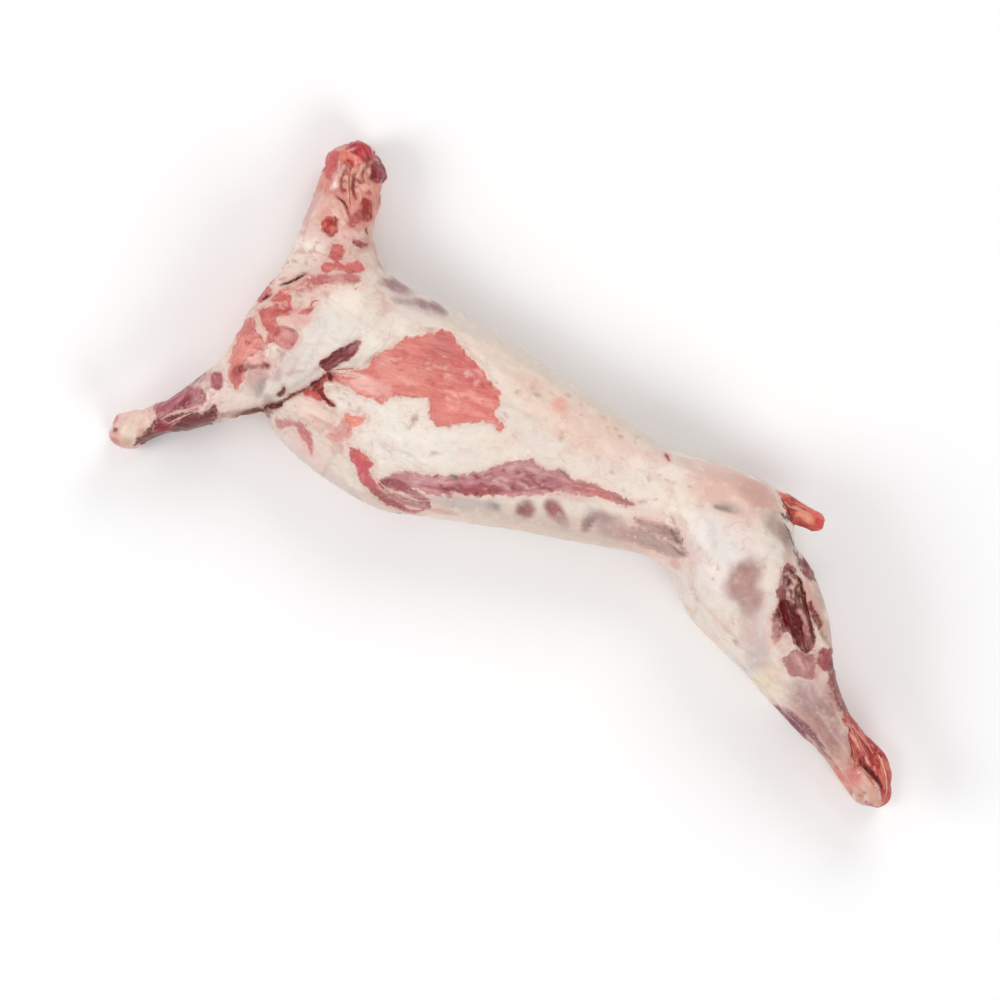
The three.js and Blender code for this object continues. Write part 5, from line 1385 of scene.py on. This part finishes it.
# Loose strands of sinew: radius, and the line that each lies along.
STRANDS = (
    (1.1, ((459, -84), (466, -90), (474, -96), (483, -103), (492, -110))),
    (0.9, ((456, -80), (470, -88), (486, -94), (500, -99), (512, -106))),
    (1.0, ((466, -86), (482, -95), (498, -104), (512, -112), (522, -121))),
    (1.3, ((500, -109), (507, -114), (515, -119), (524, -124), (533, -128))),
    (0.9, ((512, -100), (524, -108), (536, -118), (546, -132), (552, -145))),
    (0.8, ((498, -127), (510, -131), (524, -136), (538, -143))),
    (0.7, ((474, -104), (482, -112), (490, -121), (497, -132))),
    (1.1, ((-478, 218), (-472, 207), (-467, 197), (-463, 189), (-457, 181))),
    (1.2, ((-458, 221), (-457, 211), (-454, 203), (-448, 193), (-442, 182), (-434, 172))),
    (0.9, ((-450, 229), (-447, 221), (-445, 212))),
    (0.9, ((-440, 218), (-436, 212), (-427, 208))),
    (1.0, ((-436, 198), (-429, 190), (-423, 180))),
    (1.2, ((-453, 171), (-445, 165), (-436, 158), (-427, 152))),
    (0.8, ((-347, -25), (-334, -17), (-320, -8), (-307, 1))),
    (0.7, ((-340, -29), (-324, -22), (-308, -17))),
    (0.9, ((-468, -146), (-478, -157), (-488, -167), (-497, -174), (-504, -183), (-508, -193))),
    (0.7, ((-476, -163), (-485, -174), (-492, -183), (-498, -193))),
    (0.7, ((295, 41), (303, 38), (309, 33))),
    (0.7, ((308, 17), (316, 13), (322, 14))),
    (0.6, ((-240, -107), (-230, -116), (-214, -122), (-190, -120), (-166, -115), (-148, -108))),
    (0.6, ((-222, -127), (-204, -126), (-184, -124), (-164, -118))),
    (0.9, ((-462, 11), (-453, 15), (-445, 18), (-436, 20))),
    (0.9, ((-468, -9), (-462, -16), (-455, -22), (-447, -27))),
    (0.8, ((-404, 44), (-412, 40), (-410, 32))),
    (0.8, ((246, 121), (256, 118), (270, 123), (288, 122))),
)


def growth_tree(name, sizes):
    """A tree of Geometry Nodes with named inputs for its sizes, and the bench to fill it."""
    tree = bpy.data.node_groups.new(name, "GeometryNodeTree")
    tree.interface.new_socket("Geometry", in_out="INPUT", socket_type="NodeSocketGeometry")
    for label, (kind, _) in sizes.items():
        tree.interface.new_socket(label, in_out="INPUT", socket_type="NodeSocket" + kind)
    tree.interface.new_socket("Geometry", in_out="OUTPUT", socket_type="NodeSocketGeometry")
    bench = Bench(tree)
    given = tree.nodes.new("NodeGroupInput")
    inputs = {socket.name: Wire(bench, socket) for socket in given.outputs if socket.name}
    return tree, bench, inputs


def close_tree(tree, bench, grown, material):
    """Ends the tree: smooth, real geometry of the material."""
    grown = bench.node("GeometryNodeRealizeInstances", None, {"Geometry": grown})
    grown = bench.node("GeometryNodeSetShadeSmooth", None, {"Geometry": grown})
    grown = bench.node("GeometryNodeSetMaterial", None, {"Geometry": grown, "Material": material})
    tree.links.new(grown.socket, tree.nodes.new("NodeGroupOutput").inputs["Geometry"])


def grown_piece(name, ground, tree, sizes, material):
    """The plain mesh that the tree grows on the ground object, as a piece of the carcass."""
    growing = ground.modifiers.new("growing", "NODES")
    growing.node_group = tree
    for item in tree.interface.items_tree:
        if item.in_out == "INPUT" and item.name in sizes:
            growing[item.identifier] = sizes[item.name][1]
    mesh = evaluated_copy(ground, name)
    bpy.data.objects.remove(ground)
    if len(mesh.polygons) == 0:
        raise RuntimeError(f"nothing grew for {name}")
    mesh.materials.clear()
    mesh.materials.append(material)
    keep_inside(mesh)
    piece = in_scene(name, mesh)
    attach(piece, "root")
    return piece


def wander(bench, place, cell, reach):
    """A small shift of each point, from noise."""
    noise = bench.node(
        "ShaderNodeTexNoise", {"noise_dimensions": "3D"},
        {"Vector": place, "Scale": 1 / (cell * MM), "Detail": 1.0}, "Color")
    centred = bench.node(
        "ShaderNodeVectorMath", {"operation": "SUBTRACT"}, {0: noise, 1: (0.5, 0.5, 0.5)})
    return bench.scaled(centred, reach * MM)


def scrap_tree(sizes, material):
    """Small flat scraps, strewn along the edges of the bare flesh and lying on the skin."""
    tree, bench, given = growth_tree("strewn_scraps", sizes)
    edge = bench.node(
        "GeometryNodeInputNamedAttribute", {"data_type": "FLOAT"}, {"Name": "flesh_edge"}, "Attribute")
    close = bench.ease(bench.math("ABSOLUTE", edge + 0.4, 0.0), 1.8, 0.4)
    strewn = bench.node(
        "GeometryNodeDistributePointsOnFaces", {"distribute_method": "RANDOM"},
        {"Mesh": given["Geometry"], "Density": close * given["Density"], "Seed": given["Seed"]}, "Points")
    facing = Wire(bench, strewn.socket.node.outputs["Rotation"])
    turn = bench.chance(0.0, math.tau, given["Seed"])
    spin = bench.node("FunctionNodeAxisAngleToRotation", None, {"Axis": (0.0, 0.0, 1.0), "Angle": turn})
    lying = bench.node(
        "FunctionNodeRotateRotation", {"rotation_space": "LOCAL"},
        {"Rotation": facing, "Rotate By": spin})
    size = bench.node(
        "FunctionNodeRandomValue", {"data_type": "FLOAT_VECTOR"},
        {0: (0.7, 0.30, 0.12), 1: (2.3, 0.75, 0.26), "Seed": 5}, 0)
    size = bench.scaled(size, given["Size"])
    flake = bench.node(
        "GeometryNodeMeshUVSphere", None, {"Segments": 8, "Rings": 5, "Radius": 1.0}, "Mesh")
    placed = bench.node(
        "GeometryNodeInstanceOnPoints", None,
        {"Points": strewn, "Instance": flake, "Rotation": lying, "Scale": size})
    shade = bench.chance(0.0, 1.0, 9)
    placed = bench.node(
        "GeometryNodeStoreNamedAttribute", {"data_type": "FLOAT", "domain": "INSTANCE"},
        {"Geometry": placed, "Name": "scrap_shade", "Value": shade})
    real = bench.node("GeometryNodeRealizeInstances", None, {"Geometry": placed})
    shift = wander(bench, bench.node("GeometryNodeInputPosition"), 2.2, 1.3)
    bent = bench.node("GeometryNodeSetPosition", None, {"Geometry": real, "Offset": shift})
    close_tree(tree, bench, bent, material)
    return tree


def strand_tree(sizes, material):
    """Strands along curves: thin at both ends and a little wavy."""
    tree, bench, given = growth_tree("sinew_strands", sizes)
    shade = bench.chance(0.0, 1.0, given["Seed"], {"ID": bench.node("GeometryNodeInputIndex")})
    marked = bench.node(
        "GeometryNodeStoreNamedAttribute", {"data_type": "FLOAT", "domain": "CURVE"},
        {"Geometry": given["Geometry"], "Name": "strand_shade", "Value": shade})
    even = bench.node(
        "GeometryNodeResampleCurve", {"mode": "LENGTH"}, {"Curve": marked, "Length": given["Step"]})
    shift = wander(bench, bench.node("GeometryNodeInputPosition"), 7.0, 2.0)
    wavy = bench.node("GeometryNodeSetPosition", None, {"Geometry": even, "Offset": shift})
    along = bench.node("GeometryNodeSplineParameter", None, None, "Factor")
    taper = bench.math("POWER", along * (1 - along) * 4.0 + 0.02, 0.45)
    own = bench.node("GeometryNodeInputRadius")
    radius = own * taper * given["Thickness"]
    ring = bench.node(
        "GeometryNodeCurvePrimitiveCircle", {"mode": "RADIUS"}, {"Resolution": 7, "Radius": MM}, "Curve")
    tube = bench.node(
        "GeometryNodeCurveToMesh", None,
        {"Curve": wavy, "Profile Curve": ring, "Scale": radius, "Fill Caps": True})
    close_tree(tree, bench, tube, material)
    return tree


# Heights from which rays lay the strands on the skin, the jump between two spots that breaks a strand off,
# how many spots before a jump are enough to end it there, and the fewest that make a strand.
BELOW, ABOVE, JUMP = -0.05, 0.3, 9 * MM
ENOUGH_SPOTS, FEWEST_SPOTS = 5, 4


def drape(tree, line, upwards):
    """The spots where the line meets the skin, seen from above or from below, as far as they don't jump."""
    spots = []
    for x, y in rounded(rounded(line, False), False):
        start = Vector((x * MM, y * MM, BELOW if upwards else ABOVE))
        hit = tree.ray_cast(start, Vector((0, 0, 1.0 if upwards else -1.0)))[0]
        if hit is None or (spots and (hit - spots[-1]).length > JUMP):
            if len(spots) > ENOUGH_SPOTS:
                break
            spots = []
        if hit is not None:
            spots.append(hit)
    return spots


def strand_curves(skin):
    """Curves for the strands on both sides of the carcass."""
    mesh = skin.data
    ground = BVHTree.FromPolygons([v.co for v in mesh.vertices], [tuple(p.vertices) for p in mesh.polygons])
    curves = bpy.data.curves.new("strand_lines", "CURVE")
    curves.dimensions = "3D"
    for upwards in (False, True):
        for radius, line in STRANDS:
            spots = drape(ground, line, upwards)
            if len(spots) < FEWEST_SPOTS:
                continue
            spline = curves.splines.new("POLY")
            spline.points.add(len(spots) - 1)
            for point, spot in zip(spline.points, spots):
                point.co = (*spot, 1.0)
                point.radius = radius
    return in_scene("strand_lines", curves)


# ---------------------------------------------------------------- settings, operators and panel

class CarcassShape(bpy.types.PropertyGroup):
    cell: FloatProperty(
        name="Grid cell", description="Spacing of the grid that the skin is meshed on, in millimetres",
        default=2.2, min=1.5, max=8.0)
    smoothing: FloatProperty(
        name="Smoothing", description="How far the solid's facets are smoothed, in millimetres",
        default=5.0, min=1.0, max=12.0)
    relief: FloatProperty(
        name="Relief", description="Strength of folds, ribs and cuts", default=1.0, min=0.0, max=2.0,
        subtype="FACTOR")
    triangles: IntProperty(
        name="Triangles", description="Most triangles that the skin may have", default=195000, min=20000,
        max=199000)


class CarcassColours(bpy.types.PropertyGroup):
    fat: FloatVectorProperty(
        name="Fat", description="Colour of the fat where nothing tints it", subtype="COLOR", size=3,
        default=tuple(linear("EADCD0")), min=0.0, max=1.0)
    depth: FloatProperty(
        name="Depth of light", description="How much light goes through fat and flesh", default=0.07,
        min=0.0, max=1.0, subtype="FACTOR")
    wetness: FloatProperty(
        name="Wetness", description="Strength of the wet gloss", default=0.25, min=0.0, max=1.0,
        subtype="FACTOR")


class CarcassLoose(bpy.types.PropertyGroup):
    scrap_density: FloatProperty(
        name="Scrap density", description="Scraps for each square metre along the edges of the flesh",
        default=5500.0, min=0.0, max=40000.0)
    scrap_size: FloatProperty(
        name="Scrap size", description="Half the length of a usual scrap, in millimetres", default=1.5,
        min=0.2, max=6.0)
    strand_thickness: FloatProperty(
        name="Strand thickness", description="How thick the strands are, against their usual size",
        default=1.0, min=0.2, max=4.0, subtype="FACTOR")
    seed: IntProperty(name="Seed", description="Seed of everything scattered", default=7, min=0)


class CarcassStage(bpy.types.PropertyGroup):
    floor: FloatVectorProperty(
        name="Floor", description="Colour of the floor", subtype="COLOR", size=3, default=(0.98, 0.98, 0.98),
        min=0.0, max=1.0)
    ambient: FloatProperty(
        name="Ambient light", description="Strength of the light from all round", default=0.5, min=0.0,
        max=3.0)
    lamps: FloatProperty(
        name="Lamp power", description="Power of each soft lamp", default=82.0, min=0.0, max=2000.0,
        unit="POWER")


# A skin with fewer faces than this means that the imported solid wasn't read.
FEWEST_FACES = 1000


class CARCASS_OT_skin(bpy.types.Operator):
    """Make the carcass: fat, flesh and relief in one closed skin"""

    bl_idname = "carcass.skin"
    bl_label = "Make the skin"

    def execute(self, context):
        shape = context.scene.carcass_shape
        points, faces = smooth_skin(shape.cell, shape.smoothing)
        if len(faces) < FEWEST_FACES:
            raise RuntimeError("the packed solid gave no skin")
        rough = in_scene("rough_skin", plain_mesh("rough_skin", carved(points, faces, shape.relief), faces))
        thinned = rough.modifiers.new("thinned", "DECIMATE")
        thinned.ratio = min(1.0, shape.triangles / (2 * len(faces)))
        mesh = evaluated_copy(rough, "carcass_skin")
        bpy.data.objects.remove(rough)
        keep_inside(mesh)
        mesh.polygons.foreach_set("use_smooth", np.ones(len(mesh.polygons), bool))
        paint(mesh, np.array(context.scene.carcass_colours.fat))
        skin = in_scene("carcass_skin", mesh)
        mesh.materials.append(meat_material(context.scene.carcass_colours))
        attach(skin, "root")
        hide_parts("carcass")
        return {"FINISHED"}


class CARCASS_OT_scraps(bpy.types.Operator):
    """Strew small scraps of fat and flesh along the edges of the bare flesh"""

    bl_idname = "carcass.scraps"
    bl_label = "Strew the scraps"

    def execute(self, context):
        loose = context.scene.carcass_loose
        ground = in_scene("scrap_ground", bpy.data.objects["carcass_skin"].data)
        material = loose_material("scraps", "scrap_shade", SCRAP_TINTS)
        sizes = {
            "Density": ("Float", loose.scrap_density), "Size": ("Float", loose.scrap_size * MM),
            "Seed": ("Int", loose.seed)}
        grown_piece("carcass_scraps", ground, scrap_tree(sizes, material), sizes, material)
        return {"FINISHED"}


class CARCASS_OT_strands(bpy.types.Operator):
    """Lay strands of sinew over the hocks, neck, armpit and forelegs"""

    bl_idname = "carcass.strands"
    bl_label = "Lay the strands"

    def execute(self, context):
        loose = context.scene.carcass_loose
        ground = strand_curves(bpy.data.objects["carcass_skin"])
        material = loose_material("sinew", "strand_shade", STRAND_TINTS)
        sizes = {
            "Thickness": ("Float", loose.strand_thickness), "Step": ("Float", 2.0 * MM),
            "Seed": ("Int", loose.seed)}
        grown_piece("carcass_strands", ground, strand_tree(sizes, material), sizes, material)
        return {"FINISHED"}


# The stage: the floor's half width and how far it lies under the carcass, in millimetres, then in metres the
# lamps (name, place, share of the power) and the view (its middle and that one's height, the side of the
# square seen, the distance), and the view's turn in degrees.
FLOOR_HALF, FLOOR_DROP = 6000.0, 0.5
SQUARE = ((-1, -1), (1, -1), (1, 1), (-1, 1))
LAMP_SIZE = 2.6
LAMPS = (
    ("lamp_left", (-3.2, -2.2, 3.6), 1.0), ("lamp_right", (3.0, -1.6, 3.8), 0.8),
    ("lamp_back", (-0.4, 3.6, 3.6), 0.8))
SENSOR = 36.0
VIEW_MIDDLE, VIEW_LEVEL, VIEW_SIDE, VIEW_DISTANCE, VIEW_TURN = (-0.0748, -0.0616), 0.095, 1.3, 9.0, 30.0


class CARCASS_OT_stage(bpy.types.Operator):
    """Make the floor, the soft lamps and the camera"""

    bl_idname = "carcass.stage"
    bl_label = "Make the stage"

    def execute(self, context):
        stage = context.scene.carcass_stage
        corners = np.array([(a * FLOOR_HALF, b * FLOOR_HALF, -FLOOR_DROP) for a, b in SQUARE])
        floor = in_scene("studio_floor", plain_mesh("studio_floor", corners, np.array([(0, 1, 2, 3)])))
        floor.data.materials.append(floor_material(tuple(stage.floor)))

        world = bpy.data.worlds.new("studio")
        world.use_nodes = True
        world.node_tree.nodes["Background"].inputs["Color"].default_value = (1.0, 1.0, 1.0, 1.0)
        world.node_tree.nodes["Background"].inputs["Strength"].default_value = stage.ambient
        context.scene.world = world

        for name, place, share in LAMPS:
            light = bpy.data.lights.new(name, "AREA")
            light.shape = "DISK"
            light.size = LAMP_SIZE
            light.energy = stage.lamps * share
            lamp = in_scene(name, light)
            lamp.location = place
            lamp.rotation_euler = (-lamp.location).to_track_quat("-Z", "Y").to_euler()

        lens = bpy.data.cameras.new("view")
        camera = in_scene("view", lens)
        lens.sensor_width = SENSOR
        lens.lens = SENSOR * VIEW_DISTANCE / VIEW_SIDE
        camera.location = (*VIEW_MIDDLE, VIEW_LEVEL + VIEW_DISTANCE)
        camera.rotation_euler = Euler((0.0, 0.0, math.radians(VIEW_TURN)))
        context.scene.camera = camera
        context.scene.view_settings.view_transform = "Standard"
        return {"FINISHED"}


class CARCASS_PT_panel(bpy.types.Panel):
    """Every setting of the carcass, and the buttons that make its pieces"""

    bl_idname = "CARCASS_PT_panel"
    bl_label = "Lamb carcass"
    bl_space_type = "VIEW_3D"
    bl_region_type = "UI"
    bl_category = "Carcass"

    def draw(self, context):
        column = self.layout.column(align=True)
        for kept in GROUPS:
            group = getattr(context.scene, kept)
            for name in group.__annotations__:
                column.prop(group, name)
            column.separator()
        for operator in OPERATORS:
            column.operator(operator.bl_idname)


GROUPS = {
    "carcass_shape": CarcassShape, "carcass_colours": CarcassColours, "carcass_loose": CarcassLoose,
    "carcass_stage": CarcassStage}
OPERATORS = (CARCASS_OT_skin, CARCASS_OT_scraps, CARCASS_OT_strands, CARCASS_OT_stage)


def register():
    for made in (*GROUPS.values(), *OPERATORS, CARCASS_PT_panel):
        bpy.utils.register_class(made)
    for name, group in GROUPS.items():
        setattr(bpy.types.Scene, name, PointerProperty(type=group))


def unregister():
    for name in GROUPS:
        delattr(bpy.types.Scene, name)
    for made in reversed((*GROUPS.values(), *OPERATORS, CARCASS_PT_panel)):
        bpy.utils.unregister_class(made)


def main():
    register()
    bpy.ops.carcass.skin()
    bpy.ops.carcass.scraps()
    bpy.ops.carcass.strands()
    bpy.ops.carcass.stage()


if __name__ == "__main__":
    main()
